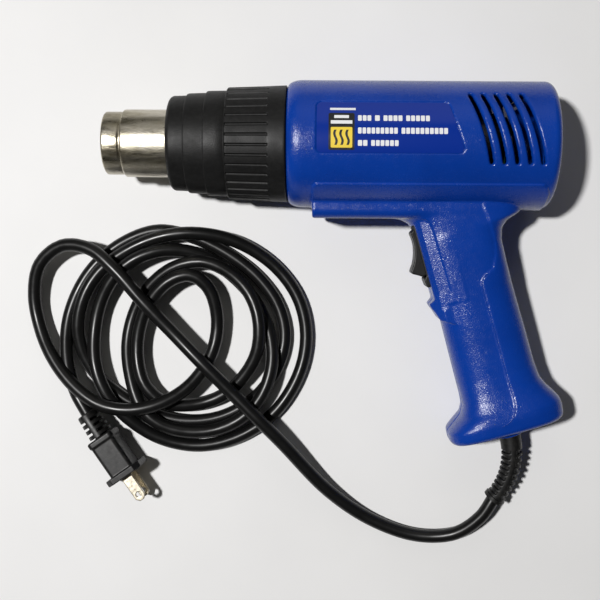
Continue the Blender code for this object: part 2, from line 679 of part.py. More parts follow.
def motor():
    funnel = pipe(
        [(-33.2 * MM, 22.0 * MM), (-20 * MM, 22.0 * MM), (4 * MM, 31.4 * MM), (32.0 * MM, 31.4 * MM)],
        [(-33.2 * MM, 20.6 * MM), (-20 * MM, 20.6 * MM), (4 * MM, 30.0 * MM), (32.0 * MM, 30.0 * MM)],
        32,
    )
    finish(funnel, "air_funnel", BLACK_PLASTIC, GUN)
    spider = pipe([(35.4 * MM, 32.4 * MM), (38.4 * MM, 32.4 * MM)], [(35.4 * MM, 28.5 * MM), (38.4 * MM, 28.5 * MM)], 32)
    join(spider, rod((35.4 * MM, 0, 0), (38.4 * MM, 0, 0), 18.5 * MM, 32))
    for angle in (0, 90, 180, 270):
        a = math.radians(angle + 45)
        arm = box((35.4 * MM, -2.5 * MM, 10 * MM), (38.4 * MM, 2.5 * MM, 30 * MM))
        arm.data.transform(Matrix.Rotation(a, 4, "X"))
        join(spider, arm)
    cut(spider, rod((30 * MM, 0, 0), (45 * MM, 0, 0), 5.5 * MM, 24))
    for sign in (-1, 1):
        cut(spider, rod((30 * MM, sign * 12 * MM, 0), (45 * MM, sign * 12 * MM, 0), 1.6 * MM, 12))
    finish(spider, "motor_bracket", BLACK_PLASTIC, GUN)
    can = turned(
        [(38.8 * MM, 3.9 * MM), (38.8 * MM, 17.4 * MM), (39.4 * MM, 17.9 * MM), (84 * MM, 17.9 * MM), (84 * MM, 16.9 * MM),
         (39.8 * MM, 16.9 * MM), (39.8 * MM, 3.9 * MM)],
        32,
        closed=True,
    )
    for sign in (-1, 1):
        cut(can, rod((38 * MM, sign * 12 * MM, 0), (41 * MM, sign * 12 * MM, 0), 1.6 * MM, 12))
    finish(can, "motor_can", DARK_STEEL, GUN)
    for number, sign in enumerate((-1, 1), 1):
        y = sign * 12 * MM
        screw = rod((33.4 * MM, y, 0), (35.1 * MM, y, 0), 2.4 * MM, 12)
        join(screw, rod((35 * MM, y, 0), (40.6 * MM, y, 0), 1.2 * MM, 12))
        finish(screw, f"motor_screw_{number}", DARK_STEEL, GUN)
    cap = turned(
        [(84.3 * MM, 3.9 * MM), (84.3 * MM, 17.9 * MM), (88.3 * MM, 17.9 * MM), (89.3 * MM, 16.5 * MM), (89.3 * MM, 3.9 * MM)],
        32,
        closed=True,
    )
    finish(cap, "motor_end_cap", BLACK_PLASTIC, GUN)
    for number, sign in enumerate((-1, 1), 1):
        magnet = pipe([(48 * MM, 16.5 * MM), (76 * MM, 16.5 * MM)], [(48 * MM, 12.5 * MM), (76 * MM, 12.5 * MM)], 32)
        low, high = sorted((sign * 5 * MM, sign * 30 * MM))
        keep(magnet, box((40 * MM, low, -30 * MM), (90 * MM, high, 30 * MM)))
        finish(magnet, f"motor_magnet_{number}", DARK_STEEL, GUN)
    for name, place in (("front_bush", 38.9 * MM), ("rear_bush", 84.4 * MM)):
        bush = pipe([(place, 3.5 * MM), (place + 4.0 * MM, 3.5 * MM)], [(place, 1.9 * MM), (place + 4.0 * MM, 1.9 * MM)], 16)
        finish(bush, name, BRASS, GUN)


def rotor():
    """The pieces that spin together on the motor's shaft."""
    axis = empty("rotor_axis", Matrix.Identity(4), GUN)
    shaft = rod((12 * MM, 0, 0), (92 * MM, 0, 0), 1.5 * MM, 12)
    finish(shaft, "motor_shaft", STEEL, axis)
    armature = pipe([(47 * MM, 11.6 * MM), (77 * MM, 11.6 * MM)], [(47 * MM, 1.9 * MM), (77 * MM, 1.9 * MM)], 24)
    for slot in range(5):
        a = 2 * math.pi * slot / 5
        groove = box((40 * MM, -1 * MM, 6 * MM), (90 * MM, 1 * MM, 15 * MM))
        groove.data.transform(Matrix.Rotation(a, 4, "X"))
        cut(armature, groove)
    finish(armature, "armature", COPPER, axis)
    commutator = pipe([(78 * MM, 4.2 * MM), (83.8 * MM, 4.2 * MM)], [(78 * MM, 1.9 * MM), (83.8 * MM, 1.9 * MM)], 16)
    finish(commutator, "commutator", COPPER, axis)
    fan = pipe([(13 * MM, 5.5 * MM), (29 * MM, 8.5 * MM)], [(13 * MM, 1.9 * MM), (29 * MM, 1.9 * MM)], 24)
    blades = 8
    for blade in range(blades):
        bm = bmesh.new()
        bmesh.ops.create_cube(bm, size=1.0)
        bmesh.ops.scale(bm, vec=(14.5 * MM, 1.2 * MM, 23.8 * MM), verts=bm.verts)
        bm.transform(Matrix.Translation((0, 0, 17.2 * MM)) @ Matrix.Rotation(math.radians(38), 4, "Z"))
        bm.transform(Matrix.Translation((21 * MM, 0, 0)) @ Matrix.Rotation(2 * math.pi * blade / blades, 4, "X"))
        join(fan, from_bmesh("blade", bm))
    finish(fan, "fan", BLACK_PLASTIC, axis, round_piece=False)


def electrics():
    board = rod((92.8 * MM, 0, 0), (94.4 * MM, 0, 0), 16 * MM, 24)
    cut(board, rod((90 * MM, 0, 0), (97 * MM, 0, 0), 3.0 * MM, 12))
    finish(board, "rectifier_board", BOARD, GUN)
    for number, (y, z) in enumerate(((8, 6), (8, -6), (-8, 6), (-8, -6)), 1):
        diode = rod((96.5 * MM, y * MM - 3 * MM, z * MM), (96.5 * MM, y * MM + 3 * MM, z * MM), 1.7 * MM, 10)
        finish(diode, f"diode_{number}", BLACK_PLASTIC, GUN)


def wires():
    """Insulated leads in the grip and the barrel's lower side."""
    behind = [switch_point(10 * MM, -21.0 * MM, z) for z in (4 * MM, -4 * MM)]
    above = switch_point(-10 * MM, -21.0 * MM, 4 * MM)
    live = smooth_through(
        [grip_point(40 * MM, 0.9 * MM, 5 * MM), grip_point(20 * MM, 1 * MM, 6 * MM), grip_point(-3 * MM, 2.5 * MM, 5 * MM), behind[0]], 12
    )
    finish(tube(live, 1.2 * MM, 1), "live_wire", BLACK_RUBBER, GUN)
    neutral = smooth_through(
        [
            grip_point(40 * MM, 0.9 * MM, -5 * MM), grip_point(10 * MM, -7 * MM, -6 * MM), grip_point(-25 * MM, -10 * MM, -6 * MM),
            Vector((77 * MM, -46 * MM, -6 * MM)), Vector((70 * MM, -37 * MM, -5 * MM)), Vector((56 * MM, -36.3 * MM, -4 * MM)),
            Vector((42 * MM, -36.3 * MM, -4 * MM)),
        ],
        18,
    )
    finish(tube(neutral, 1.2 * MM, 1), "neutral_wire", CERAMIC, GUN)
    heater_feed = smooth_through(
        [
            above, switch_point(-16 * MM, -24.0 * MM, 5 * MM), Vector((60 * MM, -36.3 * MM, 4 * MM)),
            Vector((42 * MM, -36.3 * MM, 4 * MM)),
        ],
        10,
    )
    finish(tube(heater_feed, 1.2 * MM, 1), "heater_wire", COPPER, GUN)


# ---------------------------------------------------------------- mains lead


# The lead's route across the bench, in millimetres, from the plug to the gun: five loose turns
# laid one after another, a wider loop to the left, and the run back to the grip.
CORD_ROUTE = [
    (-147, -88.7), (-155, -74.7), (-161, -53.7), (-160, -29.7), (-149, -5.7), (-131, 11.3), (-108, 20.3), (-86, 16.3),
    (-65, 6.3), (-47, -7.7), (-35, -24.7), (-31, -43.7), (-37, -64.7), (-51, -81.7), (-70, -91.7), (-92, -93.7), (-114, -87.7), (-134, -75.7),
    (-148, -60.7), (-154, -41.7), (-151, -21.7), (-141, -4.7), (-124, 8.3), (-104, 16.3), (-82, 18.3), (-59, 13.3),
    (-37, -0.7), (-23, -19.7), (-18, -41.7), (-22, -64.7), (-36, -87.7), (-57, -102.7), (-81, -108.7), (-104, -104.7), (-123, -92.7), (-136, -77.7),
    (-143, -59.7), (-144, -39.7), (-140, -21.7), (-131, -6.7), (-118, 3.3), (-101, 8.3), (-83, 6.3), (-66, -3.7),
    (-51, -18.7), (-41, -36.7), (-38, -56.7), (-43, -75.7), (-54, -89.7), (-69, -97.7), (-86, -99.7), (-103, -95.7), (-115, -85.7),
    (-122, -68.7), (-125, -47.7), (-121, -28.7), (-111, -12.7), (-96, -1.7), (-79, 1.3), (-64, -4.7),
    (-52, -16.7), (-46, -32.7), (-47, -51.7), (-56, -67.7), (-69, -78.7), (-85, -83.7), (-101, -82.7), (-113, -72.7),
    (-118, -56.7), (-117, -38.7), (-110, -21.7), (-98, -9.7), (-86, -6.7), (-76, -13.7), (-71, -28.7), (-72, -46.7),
    (-79, -62.7), (-90, -74.7), (-105, -82.7), (-122, -85.7), (-139, -82.7), (-154, -72.7), (-167, -57.7), (-176, -39.7),
    (-180, -19.7), (-176, -0.7), (-162, 10.3), (-145, 8.3), (-130, -3.7), (-113, -22.7), (-90, -46.7), (-65, -71.7), (-34, -102.7),
    (-4, -134.7), (22, -152.7), (49, -161.7), (71, -159.7), (86, -148.7),
]
BOOT_ROUTE = [(101.6, -100.3, 20.9), (102.6, -106.7, 20.4), (102.5, -113.7, 19.6), (101.4, -120.7, 18.5), (98.9, -127.7, 17.0), (95.3, -134.3, 15.2)]
BOOT_END = Vector((93.2, -137.3, 14.3)) * MM
CORD_LAYER = 8.5 * MM  # how far a stretch is lifted where it lies across another
CORD_POINTS = 80


def cord_heights(flat):
    """The height of each point of the lead: on the bench, or on the earlier stretches that it crosses."""
    count = len(flat)
    step = np.linalg.norm(np.diff(flat, axis=0), axis=1)
    along = np.concatenate([[0], np.cumsum(step)])
    gap = np.linalg.norm(flat[:, None] - flat[None], axis=2)
    far_back = along[:, None] - along[None] > 40 * MM
    height = np.full(count, CORD_R)
    climb = 0.17  # steepest slope of the lead
    tail = np.abs(along[:, None] - along[None]) * climb
    for i in range(count):
        touch = (gap[i] < CORD_LAYER) & far_back[i]
        if touch.any():
            height[i] = (height[touch] + np.sqrt(CORD_LAYER**2 - gap[i][touch] ** 2)).max()
        height[: i + 1] = np.maximum(height[: i + 1], height[i] - tail[i, : i + 1])
    return np.max(height[None] - tail, axis=1)


def cord_line():
    """The lead's centre line from the plug to the boot."""
    flat = np.array([(p.x, p.y) for p in smooth_through([(x * MM, y * MM, 0) for x, y in CORD_ROUTE] + [(*BOOT_END.xy, 0)], 1500)])
    height = cord_heights(flat)
    step = np.linalg.norm(np.diff(flat, axis=0), axis=1)
    along = np.concatenate([[0], np.cumsum(step)])
    to_plug = np.clip(1 - along / (70 * MM), 0, 1)
    to_boot = np.clip(1 - (along[-1] - along) / (60 * MM), 0, 1)
    ease = lambda t: t * t * (3 - 2 * t)
    height = height + (PLUG_TAIL.z - CORD_R) * ease(to_plug) + (BOOT_END.z - CORD_R) * ease(to_boot)
    kernel = np.hanning(41)
    padded = np.pad(height, 20, mode="edge")
    height = np.convolve(padded, kernel / kernel.sum(), mode="valid")
    return np.column_stack([flat, height])


def mains_lead():
    line = cord_line()
    picks = np.linspace(0, len(line) - 1, CORD_POINTS).round().astype(int)
    points = [Vector(line[i]) for i in picks]
    ahead = (points[1] - points[0]).normalized()
    points[0] = points[0] + ahead * 1.6 * MM
    back = (points[-2] - points[-1]).normalized()
    points[-1] = points[-1] + back * 1.2 * MM
    finish(tube(points, CORD_R, 2), "mains_lead", BLACK_RUBBER)


def boot_cutter():
    """The bore in the foot for the boot."""
    start, end = grip_point(60 * MM, 0.9 * MM), grip_point(75 * MM, 0.9 * MM)
    return rod(start, end, BOOT_R + 0.4 * MM, 24)


def boot():
    """The strain relief: a flange inside the foot and a tapered neck outside it."""
    world_to_gun = GUN_TO_WORLD.inverted()
    outside = [Vector(p) * MM for p in BOOT_ROUTE] + [BOOT_END]
    inside = [GUN_TO_WORLD @ grip_point(d * MM, 0.9 * MM) for d in (59.5, 64.0, 68.0)]
    line = smooth_through(inside + outside, 18)
    radii = [1.0 - 0.12 * i / 17 for i in range(18)]
    neck = tube(line, BOOT_R, 3, radii)
    flange = rod(grip_point(58.2 * MM, 0.9 * MM), grip_point(61.1 * MM, 0.9 * MM), 8.6 * MM, 20)
    flange.data.transform(GUN_TO_WORLD)
    join(neck, flange)
    finish(neck, "strain_relief", BLACK_RUBBER)
    stub = rod(grip_point(44 * MM, 0.9 * MM), grip_point(57.9 * MM, 0.9 * MM), CORD_R, 12)
    finish(stub, "lead_tail", BLACK_RUBBER, GUN)
    clamp = box((-9 * MM, -3 * MM, -1.5 * MM), (9 * MM, 3 * MM, 1.5 * MM), 0.8 * MM, 1)
    place = Matrix.Translation(grip_point(51 * MM, 0.9 * MM, CORD_R + 1.9 * MM))
    turn = Matrix.Rotation(GRIP_RAKE, 4, "Z")
    for sign in (-1, 1):
        cut(clamp, rod((sign * 6.8 * MM, 0, -5 * MM), (sign * 6.8 * MM, 0, 5 * MM), 1.5 * MM, 12))
    clamp.data.transform(place @ turn)
    finish(clamp, "cord_clamp", BLACK_PLASTIC, GUN)
    for number, sign in enumerate((-1, 1), 1):
        screw = rod((sign * 6.8 * MM, 0, -9 * MM), (sign * 6.8 * MM, 0, 2.0 * MM), 1.1 * MM, 12)
        join(screw, rod((sign * 6.8 * MM, 0, 1.9 * MM), (sign * 6.8 * MM, 0, 3.4 * MM), 2.2 * MM, 12))
        screw.data.transform(place @ turn)
        finish(screw, f"clamp_screw_{number}", DARK_STEEL, GUN)


def plug():
    """A two-blade plug lying on the edge of its flange; local X runs from its tail to its blades."""
    place = Matrix.Translation(PLUG_TAIL) @ Matrix.Rotation(PLUG_HEADING, 4, "Z")
    body = box((16 * MM, -7.6 * MM, -10 * MM), (40 * MM, 7.6 * MM, 10 * MM), 1.5 * MM)
    join(body, rod((0, 0, 0), (17.5 * MM, 0, 0), 5.0 * MM, 16, 7.4 * MM))
    join(body, box((16.4 * MM, -8.2 * MM, -10.6 * MM), (19.4 * MM, 8.2 * MM, 10.6 * MM), 0.7 * MM, 1))
    join(body, box((39.0 * MM, -11.2 * MM, -12.8 * MM), (43.6 * MM, 11.2 * MM, 12.8 * MM), 1.2 * MM))
    for sign in (-1, 1):
        z = sign * 6.35 * MM
        cut(body, box((37.0 * MM, -3.35 * MM, z - 0.9 * MM), (46.0 * MM, 3.35 * MM, z + 0.9 * MM), 0, 1))
    body.data.transform(place)
    finish(body, "plug_body", BLACK_RUBBER)
    for number, sign in enumerate((-1, 1), 1):
        z = sign * 6.35 * MM
        blade = box((37.1 * MM, -3.2 * MM, z - 0.75 * MM), (60.5 * MM, 3.2 * MM, z + 0.75 * MM), 0.3 * MM, 1)
        cut(blade, rod((56.8 * MM, 0, z - 2 * MM), (56.8 * MM, 0, z + 2 * MM), 1.6 * MM, 12))
        blade.data.transform(place)
        finish(blade, f"plug_blade_{number}", STEEL, round_piece=False)


clear_scene()
PARTS, CUTTERS = make_collections()
GUN = empty("gun_frame", GUN_TO_WORLD)
housing()
housing_screws()
label_plate()
switch()
heat_shield()
nozzle()
flange_screws()
heater()
motor()
rotor()
electrics()
wires()
boot()
mains_lead()
plug()
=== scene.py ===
"""The looks of a pistol-grip heat gun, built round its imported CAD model.

Lengths are in millimetres while a piece is being shaped in the gun's own frame (X along the barrel to the
rear, Y up from the barrel's axis, Z out of the left flank), and turn into metres in the world as it is made.
"""

import math

import bmesh
import bpy
import numpy as np
import openvdb as vdb
from mathutils import Matrix, Vector


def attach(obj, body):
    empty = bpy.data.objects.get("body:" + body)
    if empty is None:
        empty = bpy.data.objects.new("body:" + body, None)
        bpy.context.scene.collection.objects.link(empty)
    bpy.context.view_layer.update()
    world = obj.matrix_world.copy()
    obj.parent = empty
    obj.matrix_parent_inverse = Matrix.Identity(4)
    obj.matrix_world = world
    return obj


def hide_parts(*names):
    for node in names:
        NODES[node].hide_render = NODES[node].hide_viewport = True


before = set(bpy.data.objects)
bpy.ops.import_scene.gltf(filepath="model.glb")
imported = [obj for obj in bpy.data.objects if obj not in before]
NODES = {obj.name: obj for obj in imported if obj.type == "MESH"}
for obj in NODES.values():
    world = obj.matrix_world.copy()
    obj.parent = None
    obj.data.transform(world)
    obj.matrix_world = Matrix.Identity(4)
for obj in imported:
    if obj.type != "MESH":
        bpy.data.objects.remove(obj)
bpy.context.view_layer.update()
SCENE = bpy.context.scene
MM = 0.001

LEAN = math.radians(5.0)
BARREL_R = 35.5
AXIS_Y = 67.3
GUN = Matrix.Translation((0, AXIS_Y * MM, BARREL_R * MM)) @ Matrix.Rotation(LEAN, 4, "X") @ Matrix.Scale(MM,
    4)
SCALE_ONLY = Matrix.Scale(MM, 4)


# ---------------------------------------------------------------- camera and lights


def camera():
    data = bpy.data.cameras.new("camera")
    data.sensor_width = 36
    data.lens = 54.45
    data.clip_start = 0.01
    made = bpy.data.objects.new("camera", data)
    data.shift_x = -0.041
    made.location = (-0.0071, -0.0208, 0.550)
    made.rotation_euler = (0, 0, math.radians(0.35))
    SCENE.collection.objects.link(made)
    SCENE.camera = made


def lamp(name, place, target, power, size, colour=(1, 1, 1)):
    data = bpy.data.lights.new(name, "AREA")
    data.energy = power
    data.shape = "DISK"
    data.size = size
    data.color = colour
    made = bpy.data.objects.new(name, data)
    made.location = place
    made.rotation_euler = (Vector(target) - Vector(place)).to_track_quat("-Z", "Y").to_euler()
    SCENE.collection.objects.link(made)


def lights():
    SCENE.view_settings.view_transform = "Standard"
    lamp("key", (-0.70, 0.09, 1.72), (0, 0, 0), 33.5, 0.12, (1.0, 0.99, 0.98))
    lamp("card", (0.1, 1.25, 0.95), (0, 0, 0), 1.7, 1.3, (1.0, 0.97, 0.90))
    world = bpy.data.worlds.new("studio")
    world.use_nodes = True
    world.node_tree.nodes["Background"].inputs["Color"].default_value = (1.0, 0.99, 0.96, 1)
    world.node_tree.nodes["Background"].inputs["Strength"].default_value = 0.03
    SCENE.world = world


# ---------------------------------------------------------------- materials


def shader(name, colour, roughness, metallic=0.0, **more):
    made = bpy.data.materials.new(name)
    made.use_nodes = True
    bsdf = made.node_tree.nodes["Principled BSDF"]
    bsdf.inputs["Base Color"].default_value = (*colour, 1)
    bsdf.inputs["Roughness"].default_value = roughness
    bsdf.inputs["Metallic"].default_value = metallic
    for socket, value in more.items():
        bsdf.inputs[socket.replace("_", " ")].default_value = value
    return made


def noise(made, scale, detail=3.0, stretch=(1, 1, 1), roughness=0.5):
    nodes, links = made.node_tree.nodes, made.node_tree.links
    where = nodes.new("ShaderNodeTexCoord")
    mapping = nodes.new("ShaderNodeMapping")
    mapping.inputs["Scale"].default_value = stretch
    texture = nodes.new("ShaderNodeTexNoise")
    texture.inputs["Scale"].default_value = scale
    texture.inputs["Detail"].default_value = detail
    texture.inputs["Roughness"].default_value = roughness
    links.new(where.outputs["Object"], mapping.inputs["Vector"])
    links.new(mapping.outputs["Vector"], texture.inputs["Vector"])
    return texture.outputs["Fac"]


def ramp(made, fac, stops):
    node = made.node_tree.nodes.new("ShaderNodeValToRGB")
    made.node_tree.links.new(fac, node.inputs["Fac"])
    elements = node.color_ramp.elements
    while len(elements) < len(stops):
        elements.new(0.5)
    for element, (place, colour) in zip(elements, stops):
        element.position = place
        element.color = (*colour, 1) if len(colour) == 3 else colour
    return node.outputs["Color"]


def grey(value):
    return (value, value, value)


def feed(made, socket, output):
    made.node_tree.links.new(output, made.node_tree.nodes["Principled BSDF"].inputs[socket])


def bump(made, heights, strength, distance):
    """Adds one bump, or a chain of them, in metres of height."""
    nodes, links = made.node_tree.nodes, made.node_tree.links
    previous = None
    for height, power, depth in zip(heights, strength, distance):
        node = nodes.new("ShaderNodeBump")
        node.inputs["Strength"].default_value = power
        node.inputs["Distance"].default_value = depth
        links.new(height, node.inputs["Height"])
        if previous:
            links.new(previous, node.inputs["Normal"])
        previous = node.outputs["Normal"]
    feed(made, "Normal", previous)


def blue_plastic():
    made = shader("blue_plastic", (0.002, 0.038, 0.31), 0.26, IOR=1.47)
    blotch = noise(made, 28, 4)
    feed(made, "Base Color", ramp(made, blotch,
        [(0.3, (0.0016, 0.036, 0.285)), (0.7, (0.0024, 0.044, 0.335))]))
    wear = noise(made, 260, 5)
    feed(made, "Roughness", ramp(made, wear, [(0.35, grey(0.21)), (0.75, grey(0.31))]))
    bump(made, [noise(made, 1900, 0.5), noise(made, 90, 3)], [1.0, 0.08], [0.00012, 0.0006])
    return made


def black_plastic():
    made = shader("black_plastic", (0.007, 0.007, 0.0068), 0.5, Specular_IOR_Level=0.27)
    dust = noise(made, 420, 6, roughness=0.7)
    feed(made, "Base Color", ramp(made, dust,
        [(0.45, grey(0.0055)), (0.70, grey(0.011)), (0.82, (0.04, 0.038, 0.034))]))
    feed(made, "Roughness", ramp(made, noise(made, 150, 4), [(0.3, grey(0.44)), (0.7, grey(0.56))]))
    bump(made, [noise(made, 1700, 2)], [0.7], [0.0001])
    return made


def rubber():
    made = shader("black_rubber", (0.006, 0.006, 0.006), 0.42, Specular_IOR_Level=0.4)
    feed(made, "Roughness", ramp(made, noise(made, 300, 4), [(0.3, grey(0.36)), (0.7, grey(0.52))]))
    feed(made, "Base Color", ramp(made, noise(made, 500, 6, roughness=0.7),
        [(0.5, grey(0.0055)), (0.8, (0.028, 0.026, 0.023))]))
    bump(made, [noise(made, 1900, 3)], [0.22], [0.00012])
    return made


def cord_vinyl():
    made = shader("cord_vinyl", (0.006, 0.006, 0.006), 0.30, Specular_IOR_Level=0.33)
    feed(made, "Roughness", ramp(made, noise(made, 120, 4), [(0.3, grey(0.26)), (0.75, grey(0.38))]))
    bump(made, [noise(made, 160, 3)], [0.10], [0.0004])
    return made


def nozzle_steel():
    made = shader("nozzle_steel", (0.62, 0.57, 0.44), 0.34, 1.0)
    stain = noise(made, 75, 7, (0.35, 1, 1), roughness=0.72)
    feed(made, "Base Color", ramp(made, stain,
        [(0.30, (0.20, 0.17, 0.11)), (0.44, (0.46, 0.42, 0.32)), (0.60, (0.66, 0.62, 0.53)),
            (0.78, (0.40, 0.36, 0.26))]))
    scratches = noise(made, 420, 6, (0.18, 1, 1), roughness=0.65)
    feed(made, "Roughness", ramp(made, scratches, [(0.35, grey(0.26)), (0.7, grey(0.46))]))
    bump(made, [noise(made, 1300, 1), scratches], [0.7, 0.35], [0.00012, 0.0002])
    return made


def plain_metal(name, colour, roughness):
    made = shader(name, colour, roughness, 1.0)
    feed(made, "Roughness", ramp(made, noise(made, 500, 4),
        [(0.3, grey(roughness * 0.8)), (0.7, grey(roughness * 1.3))]))
    bump(made, [noise(made, 1500, 3)], [0.12], [0.0001])
    return made


def plain_coat(name, colour, roughness):
    made = shader(name, colour, roughness)
    feed(made, "Roughness", ramp(made, noise(made, 400, 4),
        [(0.3, grey(roughness * 0.85)), (0.7, grey(min(1.0, roughness * 1.15)))]))
    bump(made, [noise(made, 1200, 3)], [0.15], [0.00015])
    return made


def floor_paint():
    made = shader("floor_paint", (0.80, 0.80, 0.805), 0.6)
    feed(made, "Base Color", ramp(made, noise(made, 9, 4), [(0.3, grey(0.78)), (0.7, grey(0.82))]))
    return made


# ---------------------------------------------------------------- shapes from distance fields


def round_max(a, b, radius):
    """Where both shapes overlap, with the edge between them rounded."""
    if radius <= 0:
        return np.maximum(a, b)
    return np.minimum(np.maximum(a, b), -radius) + np.hypot(np.maximum(a + radius, 0),
        np.maximum(b + radius, 0))


def round_min(a, b, radius):
    """Both shapes together, with a fillet between them."""
    return -round_max(-a, -b, radius)


def polygon(points, x, y):
    """Signed distance to a closed outline, negative inside."""
    points = np.array(points, dtype=float)
    nearest = np.full(np.broadcast(x, y).shape, 1e9)
    sign = np.ones_like(nearest)
    for (ax, ay), (bx, by) in zip(points, np.roll(points, -1, axis=0)):
        ex, ey = bx - ax, by - ay
        wx, wy = x - ax, y - ay
        t = np.clip((wx * ex + wy * ey) / (ex * ex + ey * ey), 0, 1)
        nearest = np.minimum(nearest, (wx - ex * t) ** 2 + (wy - ey * t) ** 2)
        up = (y >= ay) & (y < by) & (ex * wy < ey * wx)
        down = (y < ay) & (y >= by) & (ex * wy > ey * wx)
        sign = np.where(up | down, -sign, sign)
    return sign * np.sqrt(nearest)


def stroke(points, x, y):
    """Distance to an open line."""
    nearest = np.full(np.broadcast(x, y).shape, 1e9)
    for (ax, ay), (bx, by) in zip(points, points[1:]):
        ex, ey = bx - ax, by - ay
        wx, wy = x - ax, y - ay
        t = np.clip((wx * ex + wy * ey) / (ex * ex + ey * ey), 0, 1)
        nearest = np.minimum(nearest, (wx - ex * t) ** 2 + (wy - ey * t) ** 2)
    return np.sqrt(nearest)


class Block:
    """Sample points that fill a box, in millimetres."""

    def __init__(self, low, high, step):
        self.low, self.step = low, step
        axes = [np.arange(a, b + step, step, dtype=np.float32) for a, b in zip(low, high)]
        self.x, self.y, self.z = axes[0][:, None, None], axes[1][None, :, None], axes[2][None, None, :]

    def mesh(self, name, values, place, smooth=True):
        """A mesh on the surface where values pass through zero."""
        band = np.clip(values / self.step, -3, 3).astype(np.float32)
        grid = vdb.FloatGrid(3.0)
        grid.copyFromArray(band)
        points, triangles, quads = grid.convertToPolygons(0.0, 0.0)
        points = points * self.step + np.array(self.low)
        faces = [tuple(f) for f in quads.tolist()] + [tuple(f) for f in triangles.tolist()]
        data = bpy.data.meshes.new(name)
        data.from_pydata(points.tolist(), [], faces)
        data.transform(place)
        bm = bmesh.new()
        bm.from_mesh(data)
        if bm.calc_volume(signed=True) < 0:
            bmesh.ops.reverse_faces(bm, faces=bm.faces)
        bm.to_mesh(data)
        bm.free()
        if smooth:
            data.shade_smooth()
        return link(name, data)


def link(name, data):
    made = bpy.data.objects.new(name, data)
    SCENE.collection.objects.link(made)
    return made


def wear(obj, paint, body="housing", slot=None, stands_for=()):
    obj.data.materials.clear()
    obj.data.materials.append(paint)
    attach(obj, body)
    if stands_for:
        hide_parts(*stands_for)
    return obj


# ---------------------------------------------------------------- housing

FINE = 0.68

RAKE = math.radians(16.0)
GRIP_ORIGIN = (83.1, -100.0)
GRIP_DOWN = (math.sin(RAKE), -math.cos(RAKE))
GRIP_FORE = (-math.cos(RAKE), -math.sin(RAKE))
FOOT_HALF = (BARREL_R + (GRIP_ORIGIN[1] + GRIP_DOWN[1] * 56.5) * math.sin(LEAN)) / math.cos(LEAN) - 0.1
# The grip's outline: distance down its centre line, front edge, rear edge, half thickness
STATIONS = [
    (-90, 44, -38, 15.0), (-82, 40, -38, 16.0), (-73, 40, -38, 17.0), (-69.5, 30.5, -38, 17.4),
    (-65.5, 26, -38, 17.6),
    (-60, 23.7, -38, 17.6), (-55.2, 23, -37, 17.5), (-52.8, 22.7, -28.8, 17.4), (-49.3, 22.5, -24.6, 17.2),
    (-43, 22.2, -22.6, 17.0),
    (-30, 22.0, -22.1, 16.7), (-8, 22.4, -22.4, 16.7), (12, 22.7, -22.8, 16.7), (30, 22.9, -23.0, 17.2),
    (38.5, 22.9, -23.6, 17.8),
    (44, 23.3, -26.0, 18.6), (49, 25.6, -29.2, 20.0), (53, 31.0, -31.3, FOOT_HALF - 0.5),
    (56.5, 35.6, -31.6, FOOT_HALF),
    (61, 35.9, -31.3, FOOT_HALF - 0.4), (64, 35.6, -30.6, FOOT_HALF - 0.9), (72, 34.5, -31, FOOT_HALF - 1.8),
]
SCREWS = [(-6.0, -37.2), (87.0, -50.6), (104.0, 24.5), (74.0, -102.0), (108.5, -138.0), (86.0, -160.0)]


def along_grip(x, y):
    dx, dy = x - GRIP_ORIGIN[0], y - GRIP_ORIGIN[1]
    return dx * GRIP_DOWN[0] + dy * GRIP_DOWN[1], dx * GRIP_FORE[0] + dy * GRIP_FORE[1]


def at_grip(down, fore):
    return (GRIP_ORIGIN[0] + GRIP_DOWN[0] * down + GRIP_FORE[0] * fore,
        GRIP_ORIGIN[1] + GRIP_DOWN[1] * down + GRIP_FORE[1] * fore)


def grip_field(b):
    """Distance to the grip, and the grip's own coordinates."""
    down, fore = along_grip(b.x, b.y)
    fine = np.arange(-100, 80, 0.25)
    table = np.array(STATIONS)
    kernel = np.hanning(15)
    kernel /= kernel.sum()
    columns = []
    for k in (1, 2, 3):
        raw = np.interp(fine, table[:, 0], table[:, k])
        columns.append(np.convolve(np.pad(raw, 7, mode="edge"), kernel, mode="valid"))
    front, rear, half = (np.interp(down, fine, c).astype(np.float32) for c in columns)
    middle, reach = (front + rear) / 2, (front - rear) / 2
    n = np.interp(down, [-28, -18, 30, 52], [3.2, 2.6, 2.6, 3.6]).astype(np.float32)
    u = np.abs(fore - middle) / reach + 1e-5
    # The flank behind the crease stands a little proud of the one in front of it.
    crease = [
        (78.5, -28), (80.6, -36), (84.8, -45.6), (87.6, -54.0), (88.0, -61.1), (86.6, -68.6), (82.0, -72.8),
        (80.2, -75.4), (80.4, -77.6),
        (96.1, -132.1), (99.1, -141.5), (99.9, -146.0), (99.2, -150.6), (96.8, -154.2), (92, -157.5),
        (150, -175), (150, -28),
    ]
    behind = 0.5 - np.clip(polygon(crease, b.x[:, :, 0], b.y[:, :, 0]) / 0.9, -0.5, 0.5)[:, :, None]
    fade = np.clip((57 - down) / 8, 0, 1) * np.clip((down + 74) / 12, 0, 1)
    half = half + (0.62 * behind * fade).astype(np.float32)
    v = np.abs(b.z) / half + 1e-5
    g = (u**n + v**n) ** (1 / n)
    slope = g ** (1 - n) * np.sqrt((u ** (n - 1) / reach) ** 2 + (v ** (n - 1) / half) ** 2)
    return (g - 1) / np.maximum(slope, 0.02), down, fore


def slot_lines():
    first = [(70.7, 24.2), (73.0, 18.5), (75.1, 12.6), (77.0, 6.6), (78.8, 0.4), (80.3, -5.6), (81.6, -11.4)]
    return [[(x + i * 6.88, y) for x, y in first] for i in range(5)]


LABEL = [(-12.2, -7.4), (67.9, -7.4), (58.5, 20.4), (-12.2, 20.4)]


